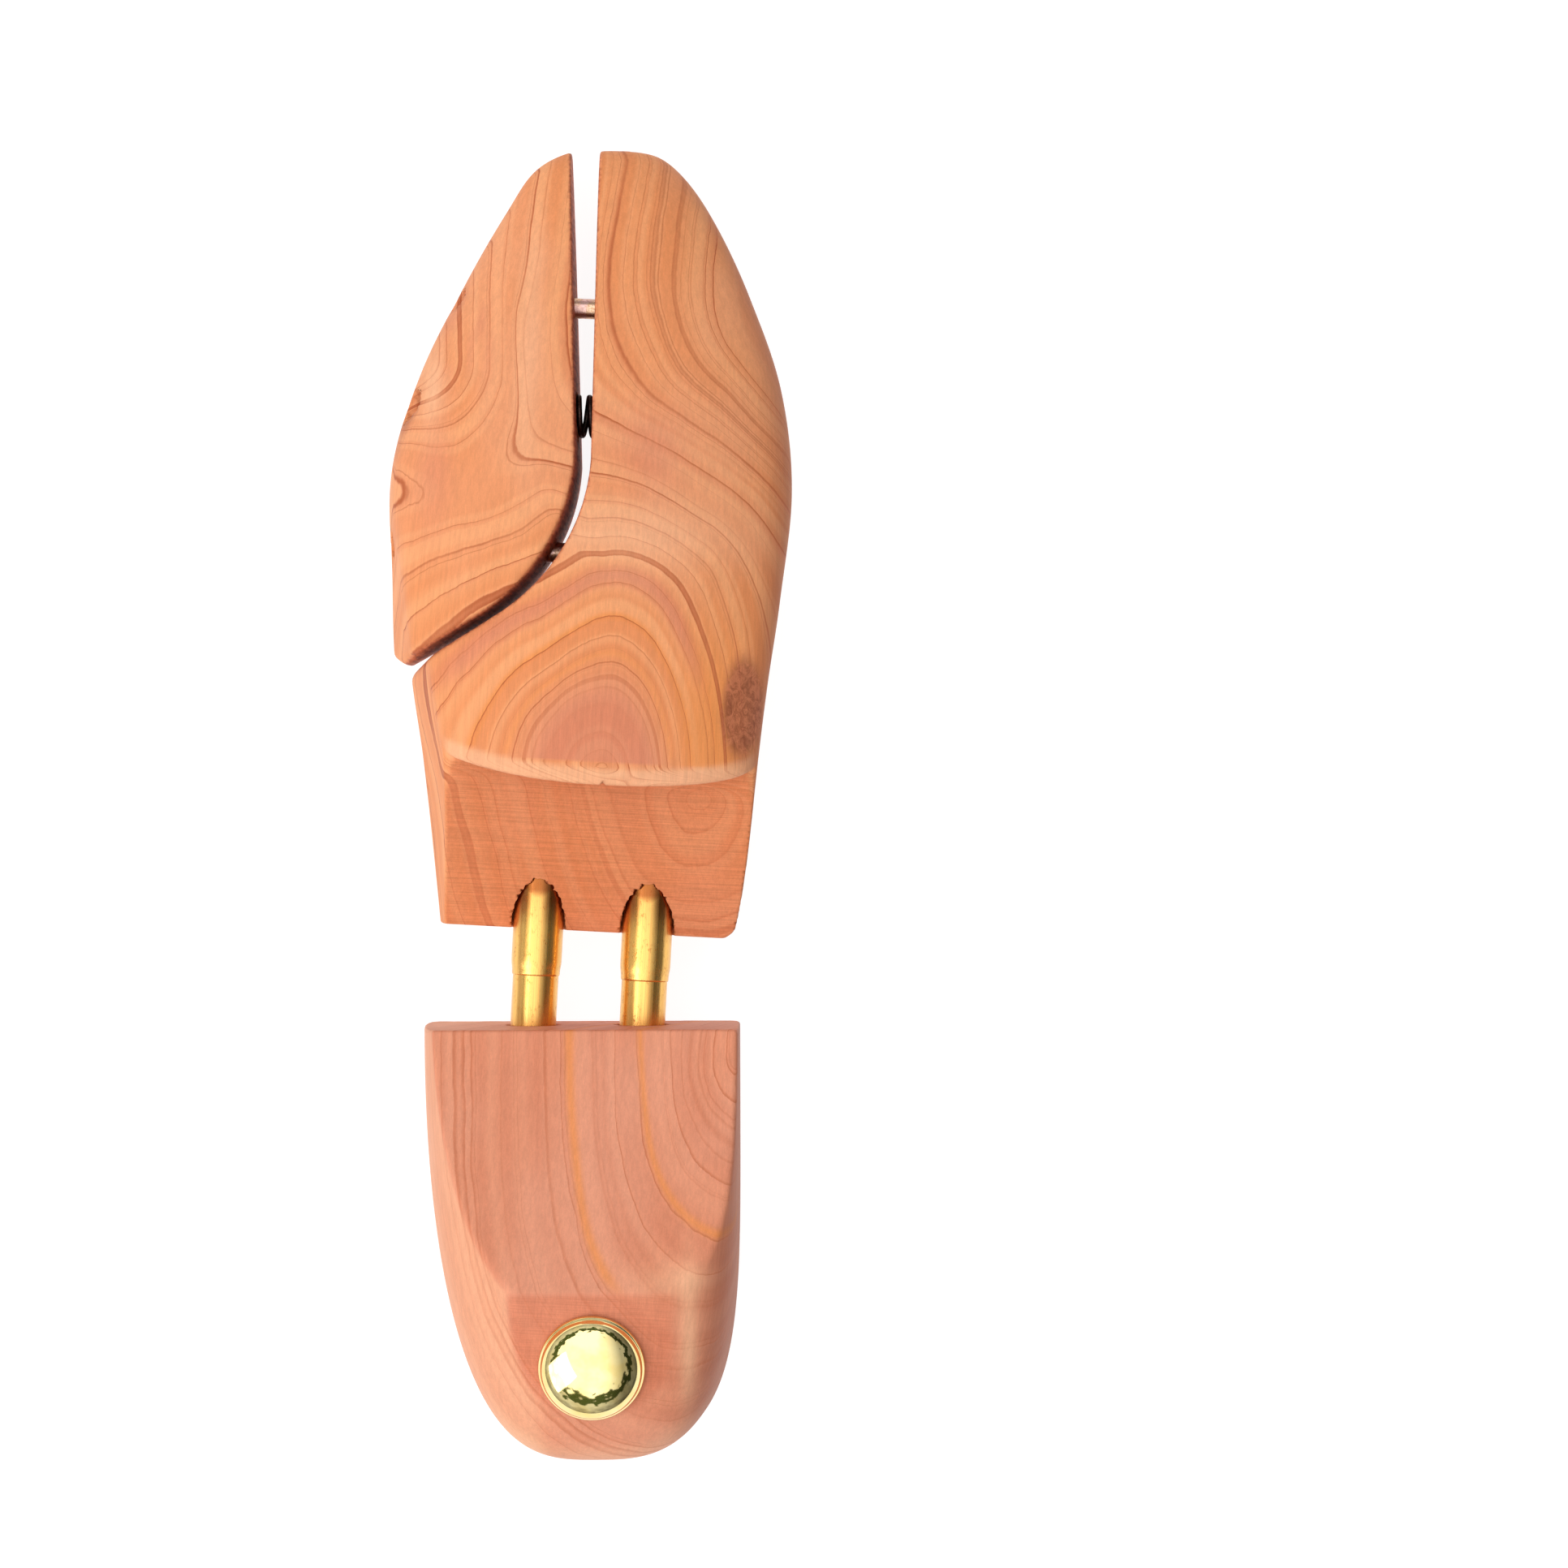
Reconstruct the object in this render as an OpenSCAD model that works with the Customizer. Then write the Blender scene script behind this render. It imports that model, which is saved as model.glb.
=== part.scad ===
// Split-toe shoe tree for a left shoe: two cedar blocks on two telescoping tubes.
// Frame: +Y runs from heel to toe along the tubes, +X is the inner (medial) side,
// +Z is up. The origin is on the sole plane, under the middle of the whole tree.

/* [Forefoot] */
// Y of the toe tip
toe_y = 143.5; // [143:0.1:146]
// Y of the square rear face of the forefoot block
forefoot_rear_y = -27.9; // [-30:0.1:-26]
// Fullness of the underside on the lateral side
sole_power = 4; // [3:0.1:5]
// Fullness of the underside on the medial (arch) side
arch_power = 2.8; // [2.4:0.1:3.6]
// How far the rounded underside is planed off to make the flat sole
sole_planed = 1.0; // [0.6:0.1:1.4]

/* [Ledge] */
// Slope of the ledge that is cut across the rear of the forefoot, in degrees
ledge_angle = 28; // [26:0.5:30]
// Height of the ledge at the rear face
ledge_rear_z = 15.0; // [14.6:0.1:15.6]
// Y of the line where the ledge meets the step
ledge_front_y = 8.5; // [7:0.1:10]

/* [Toe split] */
// Gap between wing and forefoot along X, behind the turn of the saw cut
split_gap = 3.4; // [3.2:0.1:4]
// How much wider the gap gets towards the toe, in mm per mm
split_flare = 0.043; // [0.03:0.001:0.05]
// Radius of the turn in the saw cut
split_radius = 42; // [38:0.5:44]
// Angle that the saw cut turns through, in degrees
split_turn = 56.4; // [54:0.2:58]

/* [Guide pins and toe spring] */
// Height of the guide pins
guide_z = 15; // [14:0.1:16]
// Height of the toe spring
toe_spring_z = 17.5; // [17:0.1:18]
// Y of the front pin, the toe spring and the rear pin
guide_y = [107.9, 84.2, 54.4];
// Diameter of the guide pins
guide_pin_d = 4.4; // [4:0.1:4.8]
// Outer diameter of the toe spring
toe_spring_d = 9.6; // [9:0.1:10]
// Wire of the toe spring
toe_spring_wire = 1.3; // [1.1:0.1:1.5]

/* [Tubes] */
// Height of the tube axes
tube_z = 14.5; // [14.2:0.1:15]
// X of the middle between the two tubes
tube_mid_x = 5.3; // [4.5:0.1:5.7]
// Distance between the two tube axes
tube_spacing = 23.8; // [23.4:0.1:24.2]
// Outer diameter of the fixed outer tubes
outer_tube_d = 11.0; // [10.9:0.05:11.1]
// Outer diameter of the sliding inner tubes
inner_tube_d = 10.0; // [9.9:0.05:10.05]
// Y of the crimped end of the outer tubes
crimp_y = -38; // [-39:0.1:-37]

/* [Heel] */
// Y of the middle of the heel's front face, at rest
heel_front_y = -48.1; // [-49:0.1:-48]
// X of the heel's rearmost point before the block is turned
heel_mid_x = 7.5; // [7:0.1:8]
// Turn of the heel block against the tubes, in degrees
heel_turn = 3.2; // [2.8:0.1:3.6]
// Length of the heel block
heel_length = 93.4; // [92:0.1:95]
// Width from the rearmost point to the lateral side
heel_lateral_w = 38.0; // [37:0.1:39]
// Width from the rearmost point to the medial side
heel_medial_w = 31.0; // [30:0.1:32]
// Height of the ridge across the heel
heel_ridge_z = 50; // [49:0.5:51]
// Height of the front edge of the heel
heel_front_z = 36; // [35:0.5:37]

/* [Knob] */
// Diameter of the knob's rim
knob_d = 22.6; // [22:0.1:24]
// Height of the knob above the wood
knob_h = 6.6; // [6:0.1:7]

/* [Hidden] */
$fn = 64;

cedar = [0.86, 0.58, 0.42];
brass = [0.85, 0.65, 0.25];
zinc = [0.75, 0.70, 0.50];
dark_steel = [0.18, 0.17, 0.17];
steel = [0.62, 0.62, 0.63];
past = 0.01;
clear_of_block = 60;

// Offsets of the closed last, from the toe back. Each row holds Y, the lateral and
// medial outline X, the crest X and Z, the Z where the lateral and the medial side
// are widest, the Z of the underside, the fullness of the crown, how far the crown
// would overhang the lateral outline, and the lean of the flat planed on that flank.
last_rows = [
    [toe_y, 1, 5.4, 3.5, 10.5, 9, 9, 8, 2.35, 0, 0],
    [142.2, -6.5, 11.3, 3.5, 14.5, 9, 9, 5.8, 2.35, 0, 0],
    [138, -13.2, 16.8, 3, 17.8, 9, 9, 4.4, 2.35, 0, 0],
    [128, -19.2, 24.2, 3, 21.8, 9.5, 10, 2.6, 2.35, 0, 0],
    [112, -27.2, 32.6, 4, 26.4, 10, 11, 1.0, 2.35, 0, 0],
    [92, -35.7, 40.4, 5, 31.4, 11, 13, 0, 2.35, 0, 0],
    [70, -41.1, 43.8, 6, 36.6, 11.5, 17, 0, 2.3, 0.5, 0.1],
    [45, -39.9, 42.4, 7, 41.2, 12, 25, 0, 2.2, 2.5, 0.24],
    [27, -38.3, 40.7, 7, 43.0, 12, 29, 0, 2.15, 4.5, 0.28],
    [8, -34.6, 39.4, 7, 44.0, 12, 32, 0, 2.15, 5.5, 0.28],
    [forefoot_rear_y - 1, -28.7, 37.7, 6, 45, 11, 30, 0, 2.15, 5, 0.28],
];
flank_z = 8.5;
ring_points = 40;
stations = 34;

// Distance from the toe tip on a scale that opens out evenly round the blunt toe
function toe_key(y) = sqrt(max(toe_y - y, 0));
last_keys = [for (row = last_rows) toe_key(row[0])];
last_end = last_keys[len(last_rows) - 1];

function key_span(keys, k, i = 0) =
    (i >= len(keys) - 2 || k <= keys[i + 1]) ? i : key_span(keys, k, i + 1);
function row_slope(rows, keys, column, i) =
    let (a = max(i - 1, 0), b = min(i + 1, len(keys) - 1))
    (rows[b][column] - rows[a][column]) / (keys[b] - keys[a]);
// Smooth curve through one column of the rows
function fair(rows, keys, column, k) =
    let (
        i = key_span(keys, k),
        span = keys[i + 1] - keys[i],
        t = (k - keys[i]) / span,
        start = rows[i][column],
        end = rows[i + 1][column],
        pull_a = row_slope(rows, keys, column, i) * span,
        pull_b = row_slope(rows, keys, column, i + 1) * span
    )
    start * (2 * t * t * t - 3 * t * t + 1) + pull_a * (t * t * t - 2 * t * t + t)
    + end * (3 * t * t - 2 * t * t * t) + pull_b * (t * t * t - t * t);

// One cross-section of the last: four quarter superellipses that share their tangents,
// with the lateral one cut off by the leaning flank
function last_ring(k) =
    let (
        y = toe_y - k * k,
        lateral = fair(last_rows, last_keys, 1, k),
        medial = fair(last_rows, last_keys, 2, k),
        crest_x = fair(last_rows, last_keys, 3, k),
        crest_z = fair(last_rows, last_keys, 4, k),
        lateral_z = fair(last_rows, last_keys, 5, k),
        medial_z = fair(last_rows, last_keys, 6, k),
        under_z = fair(last_rows, last_keys, 7, k) - sole_planed,
        crown_power = fair(last_rows, last_keys, 8, k),
        overhang = fair(last_rows, last_keys, 9, k),
        lean = fair(last_rows, last_keys, 10, k)
    )
    [for (i = [0 : ring_points - 1])
        let (
            a = 360 * i / ring_points,
            side_x = cos(a) >= 0 ? medial : lateral - (sin(a) >= 0 ? overhang : 0),
            side_z = cos(a) >= 0 ? medial_z : lateral_z,
            power = sin(a) >= 0 ? crown_power : (cos(a) >= 0 ? arch_power : sole_power),
            far_z = sin(a) >= 0 ? crest_z : under_z,
            x = crest_x + (side_x - crest_x) * pow(abs(cos(a)), 2 / power),
            z = side_z + (far_z - side_z) * pow(abs(sin(a)), 2 / power)
        )
        [max(x, lateral + lean * max(z - flank_z, 0)), y, z]];

// Closed solid through a list of rings that all have the same number of points
module loft(rings) {
    n = len(rings[0]);
    last = len(rings) - 1;
    points = [for (ring = rings) for (p = ring) p];
    sides = [for (j = [0 : last - 1]) for (i = [0 : n - 1])
        let (a = j * n + i, b = j * n + (i + 1) % n)
        each [[a, a + n, b], [b, a + n, b + n]]];
    start_cap = [for (i = [0 : n - 1]) i];
    end_cap = [for (i = [n - 1 : -1 : 0]) last * n + i];
    polyhedron(points, concat(sides, [start_cap, end_cap]), convexity = 6);
}

module last_solid() {
    loft([for (s = [0 : stations - 1]) last_ring(last_end * s / (stations - 1))]);
}

// Saw cut seen from above, from beyond the toe round to beyond the lateral flank
split_start = [0.5, 74];
split_lean = 0.0377;
split_end_run = 30;
function split_path(shift, flare) =
    let (centre = [split_start[0] - split_radius, split_start[1]],
        heading = [-sin(split_turn), -cos(split_turn)],
        turn_end = centre + split_radius * [cos(split_turn), -sin(split_turn)],
        run = toe_y + 5 - split_start[1])
    concat(
        [[split_start[0] - (split_lean + flare) * run + shift, toe_y + 5]],
        [for (i = [0 : 16]) let (a = -split_turn * i / 16)
            [centre[0] + split_radius * cos(a) + shift, centre[1] + split_radius * sin(a)]],
        [[turn_end[0] + split_end_run * heading[0] + shift, turn_end[1] + split_end_run * heading[1]]]);

// Everything on the medial side of the cut, with the exposed corners eased
module forefoot_plan() {
    path = split_path(0, 0);
    flank_corner = [[-34.4, 28.35], [-36.8, 26.7], [-38.3, 24.6], [-45, 2]];
    rear_corners = [[-45, forefoot_rear_y], [34.6, forefoot_rear_y],
        [36.6, forefoot_rear_y + 0.8], [37.7, forefoot_rear_y + 2.8], [60, 0]];
    polygon(concat([for (i = [0 : len(path) - 2]) path[i]], flank_corner, rear_corners,
        [[60, toe_y + 5]]));
}

module wing_plan() {
    path = split_path(-split_gap, split_flare);
    tip = [[-37.8, 28.4], [-39, 28.1], [-43.4, 30.6], [-60, 30.6]];
    polygon(concat([for (i = [0 : len(path) - 2]) path[i]], tip, [[-60, toe_y + 5]]));
}

// Space above the ledge and behind the step, as a prism across the block
module ledge_space() {
    front_z = ledge_rear_z + (ledge_front_y - forefoot_rear_y) * tan(ledge_angle);
    reach = 60;
    along = [-cos(ledge_angle), -sin(ledge_angle)];
    out = [-sin(ledge_angle), cos(ledge_angle)];
    corner = [ledge_front_y, front_z];
    translate([-clear_of_block, 0, 0])
        rotate([90, 0, 90])
            linear_extrude(2 * clear_of_block)
                polygon([corner, corner + reach * out, corner + reach * (out + along),
                    corner + reach * along]);
}

// Cylinder along +Y or +X, placed by its low end
module rod_y(x, y0, y1, z, d) {
    translate([x, y0, z])
        rotate([-90, 0, 0])
            cylinder(h = y1 - y0, d = d);
}

module rod_x(x0, x1, y, z, d) {
    translate([x0, y, z])
        rotate([0, 90, 0])
            cylinder(h = x1 - x0, d = d);
}

module rod_z(x, y, z0, z1, d) {
    translate([x, y, z0])
        cylinder(h = z1 - z0, d = d);
}

tube_x = [tube_mid_x - tube_spacing / 2, tube_mid_x + tube_spacing / 2];
tube_front_y = 28;
tube_bore_d = outer_tube_d + 0.04;
mouth_d = 11.8;
mouth_depth = 13;
tube_pin_d = 2.4;
tube_pin_top = tube_z + 9;
outer_pin_y = 23.5;
inner_pin_y = -84;

spring_pocket_d = 10.6;
spring_pocket_depth = 9;
pilot_d = 8;
pin_head_d = 5.2;
pin_head_t = 1.2;
counterbore_d = 5.6;
// X of the floor of each counterbore in the wing, and of the inner end of each pin
counterbore_x = [-19, 0, -30];
pin_end_x = [17, 0, 14];
// X of the two faces of the split at the toe spring
spring_faces_x = [-3.7, 0.1];

module forefoot_block() {
    color(cedar)
        difference() {
            difference() {
                intersection() {
                    last_solid();
                    linear_extrude(clear_of_block) forefoot_plan();
                }
                ledge_space();
            }
            for (x = tube_x) {
                rod_y(x, forefoot_rear_y - 1, forefoot_rear_y + mouth_depth, tube_z, mouth_d);
                rod_y(x, forefoot_rear_y, tube_front_y + 0.5, tube_z, tube_bore_d);
                rod_z(x, outer_pin_y, -1, tube_pin_top, tube_pin_d);
            }
            for (i = [0, 2])
                rod_x(-10, pin_end_x[i], guide_y[i], guide_z, guide_pin_d);
            rod_x(-10, spring_faces_x[1] + spring_pocket_depth, guide_y[1], toe_spring_z,
                spring_pocket_d);
        }
}

module toe_wing() {
    color(cedar)
        difference() {
            intersection() {
                translate([-split_gap, 0, 0]) last_solid();
                linear_extrude(clear_of_block) wing_plan();
            }
            for (i = [0, 2]) {
                rod_x(-50, 5, guide_y[i], guide_z, guide_pin_d + 0.1);
                rod_x(-50, counterbore_x[i], guide_y[i], guide_z, counterbore_d);
            }
            rod_x(-50, 5, guide_y[1], toe_spring_z, pilot_d);
            rod_x(spring_faces_x[0] - spring_pocket_depth, 5, guide_y[1], toe_spring_z,
                spring_pocket_d);
        }
}

// Heel outline at height z: two quarter superellipses that meet at the rearmost point
heel_wide_z = 12;
heel_dome_z = 56;
heel_edge_round = 4;
heel_quarter = 13;
heel_levels = [-1, 0, 0.8, 2, 4, 8, 12, 17, 22, 27, 31, 35, 38, 41, 44, 46.5, 49, 51];
function heel_rise(z) = max(z - heel_wide_z, 0) / (heel_dome_z - heel_wide_z);
function heel_inset(z) =
    let (t = max(heel_edge_round - max(z, 0), 0) / heel_edge_round)
    heel_edge_round * (1 - sqrt(1 - 0.75 * t * t));
function heel_ring(z) =
    let (
        rise = heel_rise(z),
        inset = heel_inset(z),
        length = heel_length * sqrt(1 - pow(rise, 4.8)) - inset,
        lateral = (heel_lateral_w - 2.9 * rise) * sqrt(1 - pow(rise, 3.6)) - inset,
        medial = heel_medial_w * sqrt(1 - pow(rise, 6.9)) - inset,
        medial_power = 5.7 - 3.4 * rise
    )
    concat(
        [for (i = [0 : heel_quarter]) let (a = 90 * i / heel_quarter)
            [-lateral * pow(cos(a), 2 / 3.05), -length * pow(sin(a), 2 / 2.2), z]],
        [for (i = [heel_quarter - 1 : -1 : 0]) let (a = 90 * i / heel_quarter)
            [medial * pow(cos(a), 2 / 2.95), -length * pow(sin(a), 2 / medial_power), z]]);

// Side profile of the heel: a hollow front slope up to the ridge, then the knob facet
ridge_back = 54.5;
knob_facet_angle = 9;
slope_hollow = 1.3;
function front_slope_z(back) =
    heel_front_z + (heel_ridge_z - heel_front_z) * pow(back / ridge_back, slope_hollow);
module heel_profile() {
    behind = heel_length + 4;
    polygon(concat(
        [[0, 0]],
        [for (i = [0 : 18]) let (back = ridge_back * i / 18) [back, front_slope_z(back)]],
        [[behind, heel_ridge_z - (behind - ridge_back) * tan(knob_facet_angle)], [behind, 0]]));
}

module in_heel_frame() {
    translate([heel_mid_x, heel_front_y, 0])
        rotate([0, 0, heel_turn])
            children();
}

// Frame of the knob: origin on the facet, +Z square to it
knob_back = 70.4;
knob_side = -0.1;
module in_knob_frame() {
    in_heel_frame()
        translate([knob_side, -knob_back,
            heel_ridge_z - (knob_back - ridge_back) * tan(knob_facet_angle)])
            rotate([knob_facet_angle, 0, 0])
                children();
}

heel_counterbore_d = 11.7;
heel_counterbore_y = -58;
inner_tube_end_y = -92;
screw_d = 3.2;
screw_length = 24;

module heel_block() {
    color(cedar)
        difference() {
            in_heel_frame()
                intersection() {
                    loft([for (z = heel_levels) heel_ring(z)]);
                    translate([-clear_of_block, 0, 0])
                        rotate([90, 0, 90])
                            linear_extrude(2 * clear_of_block)
                                mirror([1, 0]) heel_profile();
                }
            for (x = tube_x) {
                rod_y(x, inner_tube_end_y - 0.5, -40, tube_z, inner_tube_d + 0.04);
                rod_y(x, heel_counterbore_y, -40, tube_z, heel_counterbore_d);
                rod_z(x, inner_pin_y, -1, tube_pin_top, tube_pin_d);
            }
            in_knob_frame()
                translate([0, 0, -screw_length - 1])
                    cylinder(h = screw_length + 3, d = screw_d);
        }
}

// Headed guide pin: pressed into the forefoot, its head holds the wing on
module guide_pin(i) {
    color(zinc)
        union() {
            rod_x(counterbore_x[i] - pin_head_t, counterbore_x[i] - 0.05, guide_y[i], guide_z,
                pin_head_d);
            rod_x(counterbore_x[i] - pin_head_t / 2, pin_end_x[i], guide_y[i], guide_z, guide_pin_d);
        }
}

module front_guide_pin() {
    guide_pin(0);
}

module rear_guide_pin() {
    guide_pin(2);
}

// Compression spring along +Z from z = 0, its wire swept as a ring of wire_sides points
wire_sides = 6;
module coil_spring(d, wire, length, turns, steps) {
    radius = (d - wire) / 2;
    count = turns * steps;
    rise = length - wire;
    lead = atan(rise / turns / (2 * PI * radius));
    loft([for (s = [0 : count])
        let (
            a = 360 * s / steps,
            outward = [cos(a), sin(a), 0],
            normal = [sin(a) * sin(lead), -cos(a) * sin(lead), cos(lead)],
            centre = radius * outward + [0, 0, wire / 2 + rise * s / count]
        )
        [for (i = [0 : wire_sides - 1]) let (b = 360 * i / wire_sides)
            centre + wire / 2 * (cos(b) * outward + sin(b) * normal)]]);
}

module toe_spring() {
    low = spring_faces_x[0] - spring_pocket_depth + 0.1;
    high = spring_faces_x[1] + spring_pocket_depth - 0.1;
    color(dark_steel)
        translate([low, guide_y[1], toe_spring_z])
            rotate([0, 90, 0])
                coil_spring(toe_spring_d, toe_spring_wire, high - low, 9, 18);
}

outer_wall = 0.3;
crimp_length = 1.8;
module outer_tube(x) {
    color(brass)
        difference() {
            union() {
                rod_y(x, crimp_y + crimp_length, tube_front_y, tube_z, outer_tube_d);
                rod_y(x, crimp_y, crimp_y + crimp_length + past, tube_z, outer_tube_d - 0.3);
            }
            rod_y(x, crimp_y + crimp_length, tube_front_y + 1, tube_z,
                outer_tube_d - 2 * outer_wall);
            rod_y(x, crimp_y - 1, tube_front_y, tube_z, inner_tube_d + 0.1);
            rod_z(x, outer_pin_y, 0, tube_pin_top + 5, tube_pin_d);
        }
}

module outer_tube_lateral() {
    outer_tube(tube_x[0]);
}

module outer_tube_medial() {
    outer_tube(tube_x[1]);
}

inner_tube_front_y = -8;
inner_wall = 0.4;
bead_d = inner_tube_d + 0.3;
bead_length = 1.6;
module inner_tube(x) {
    bead_y = crimp_y + crimp_length + 0.05;
    color(brass)
        difference() {
            union() {
                rod_y(x, inner_tube_end_y, inner_tube_front_y, tube_z, inner_tube_d);
                rod_y(x, bead_y, bead_y + bead_length, tube_z, bead_d);
                rod_y(x, inner_tube_front_y - 2, inner_tube_front_y, tube_z, bead_d);
            }
            rod_y(x, inner_tube_end_y - 1, inner_tube_front_y + 1, tube_z,
                inner_tube_d - 2 * inner_wall);
            rod_z(x, inner_pin_y, 0, tube_pin_top + 5, tube_pin_d);
        }
}

module inner_tube_lateral() {
    inner_tube(tube_x[0]);
}

module inner_tube_medial() {
    inner_tube(tube_x[1]);
}

seat_t = 1;
seat_y = outer_pin_y - tube_pin_d / 2 - seat_t;
tube_spring_d = 9.8;
tube_spring_wire = 1.1;
module tube_spring(x) {
    color(steel)
        translate([x, inner_tube_front_y + 0.1, tube_z])
            rotate([-90, 0, 0])
                coil_spring(tube_spring_d, tube_spring_wire, seat_y - inner_tube_front_y - 0.2, 7, 18);
}

module tube_spring_lateral() {
    tube_spring(tube_x[0]);
}

module tube_spring_medial() {
    tube_spring(tube_x[1]);
}

module spring_seat(x) {
    color(steel)
        rod_y(x, seat_y, seat_y + seat_t, tube_z, outer_tube_d - 2 * outer_wall - 0.04);
}

module spring_seat_lateral() {
    spring_seat(tube_x[0]);
}

module spring_seat_medial() {
    spring_seat(tube_x[1]);
}

// Headless pin driven up from the sole, through both walls of a tube
module tube_pin(x, y) {
    color(steel)
        rod_z(x, y, 0.6, tube_pin_top, tube_pin_d);
}

module outer_tube_pin_lateral() {
    tube_pin(tube_x[0], outer_pin_y);
}

module outer_tube_pin_medial() {
    tube_pin(tube_x[1], outer_pin_y);
}

module inner_tube_pin_lateral() {
    tube_pin(tube_x[0], inner_pin_y);
}

module inner_tube_pin_medial() {
    tube_pin(tube_x[1], inner_pin_y);
}

// Pressed brass cap: half of its section, with a straight rim under a low dome
knob_wall = 0.6;
knob_rim_h = 2.2;
knob_plate_t = 0.9;
function dome_arc(radius, rim_z, top_z) =
    [for (i = [0 : 16]) let (a = 90 * i / 16)
        [radius * cos(a), rim_z + (top_z - rim_z) * sin(a)]];
module heel_knob_cap() {
    outer = dome_arc(knob_d / 2, knob_rim_h, knob_h);
    inner = dome_arc(knob_d / 2 - knob_wall, knob_rim_h, knob_h - knob_wall);
    color(brass)
        in_knob_frame()
            rotate_extrude()
                polygon(concat([[knob_d / 2, 0]], outer,
                    [for (i = [16 : -1 : 0]) inner[i]], [[knob_d / 2 - knob_wall, 0]]));
}

module heel_knob_plate() {
    color(steel)
        in_knob_frame()
            difference() {
                cylinder(h = knob_plate_t, d = knob_d - 2 * knob_wall);
                translate([0, 0, -1]) cylinder(h = knob_plate_t + 2, d = screw_d);
            }
}

module heel_knob_screw() {
    head_d = 7;
    head_h = 2;
    point = 4;
    color(steel)
        in_knob_frame()
            union() {
                translate([0, 0, knob_plate_t]) cylinder(h = head_h, d = head_d);
                translate([0, 0, point - screw_length])
                    cylinder(h = screw_length - point + knob_plate_t + 0.5, d = screw_d);
                translate([0, 0, -screw_length]) cylinder(h = point, d1 = 0.4, d2 = screw_d);
            }
}

forefoot_block();
toe_wing();
heel_block();
front_guide_pin();
rear_guide_pin();
toe_spring();
outer_tube_lateral();
outer_tube_medial();
inner_tube_lateral();
inner_tube_medial();
tube_spring_lateral();
tube_spring_medial();
spring_seat_lateral();
spring_seat_medial();
outer_tube_pin_lateral();
outer_tube_pin_medial();
inner_tube_pin_lateral();
inner_tube_pin_medial();
heel_knob_cap();
heel_knob_plate();
heel_knob_screw();
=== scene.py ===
"""Looks of the shoe tree: two cedar blocks on telescoping brass tubes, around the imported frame."""
import math

import bpy
import numpy as np
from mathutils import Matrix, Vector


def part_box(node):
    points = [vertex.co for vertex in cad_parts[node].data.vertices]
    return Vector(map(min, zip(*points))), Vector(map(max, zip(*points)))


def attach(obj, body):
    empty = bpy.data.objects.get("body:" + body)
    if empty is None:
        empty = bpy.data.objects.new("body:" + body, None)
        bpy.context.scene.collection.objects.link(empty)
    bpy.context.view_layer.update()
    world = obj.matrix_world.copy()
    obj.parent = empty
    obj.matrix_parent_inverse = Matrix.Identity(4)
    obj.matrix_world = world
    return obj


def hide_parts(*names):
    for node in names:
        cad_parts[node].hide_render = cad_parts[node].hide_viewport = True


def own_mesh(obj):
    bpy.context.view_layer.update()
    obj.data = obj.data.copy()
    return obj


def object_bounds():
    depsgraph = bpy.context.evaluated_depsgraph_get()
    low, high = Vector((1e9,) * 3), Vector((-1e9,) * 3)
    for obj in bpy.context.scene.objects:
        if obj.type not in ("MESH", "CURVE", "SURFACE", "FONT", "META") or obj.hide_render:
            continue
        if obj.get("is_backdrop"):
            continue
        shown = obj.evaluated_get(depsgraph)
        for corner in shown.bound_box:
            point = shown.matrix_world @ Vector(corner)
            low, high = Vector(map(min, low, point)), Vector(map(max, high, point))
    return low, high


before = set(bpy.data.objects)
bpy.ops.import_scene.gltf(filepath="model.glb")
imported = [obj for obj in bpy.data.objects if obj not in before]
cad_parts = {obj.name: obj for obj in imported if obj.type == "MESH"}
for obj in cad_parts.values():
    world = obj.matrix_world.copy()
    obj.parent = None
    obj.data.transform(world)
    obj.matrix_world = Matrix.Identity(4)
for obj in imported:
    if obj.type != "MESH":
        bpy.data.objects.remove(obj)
cad_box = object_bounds()

# Lengths below are in millimetres, in the frame of the CAD model; meshes are scaled to metres.
MM = 0.001


# ---------------------------------------------------------------- distance functions of the blocks

def smax(a, b, radius):
    """Larger of two distances, with the edge between them eased over about radius."""
    h = np.maximum(radius - np.abs(a - b), 0)
    return np.maximum(a, b) + h * h / (4 * radius)


def per_distance(raw, x, y, z, near=0.3, step=0.04):
    """Turns a raw level function into a distance near its surface, by dividing by its slope."""
    x, y, z = np.broadcast_arrays(x, y, z)
    f = raw(x, y, z)
    out = np.sign(f) * 6.0
    close = np.abs(f) < near
    px, py, pz = x[close], y[close], z[close]
    gx = (raw(px + step, py, pz) - raw(px - step, py, pz)) / (2 * step)
    gy = (raw(px, py + step, pz) - raw(px, py - step, pz)) / (2 * step)
    gz = (raw(px, py, pz + step) - raw(px, py, pz - step)) / (2 * step)
    slope = np.sqrt(gx * gx + gy * gy + gz * gz)
    out[close] = np.clip(f[close] / np.maximum(slope, 1e-4), -6, 6)
    return out


def rod(x, y, z, axis, centre, start, end, diameter):
    """Distance to a cylinder along axis 'x', 'y' or 'z', negative inside."""
    along = {"x": x, "y": y, "z": z}[axis]
    a, b = {"x": (y, z), "y": (x, z), "z": (x, y)}[axis]
    radial = np.sqrt((a - centre[0]) ** 2 + (b - centre[1]) ** 2) - diameter / 2
    return np.maximum(radial, np.maximum(start - along, along - end))


TOE_Y = 143.5
REAR_Y = -27.9
FLANK_Z = 8.5
SOLE_PLANED = 1.0
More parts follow.
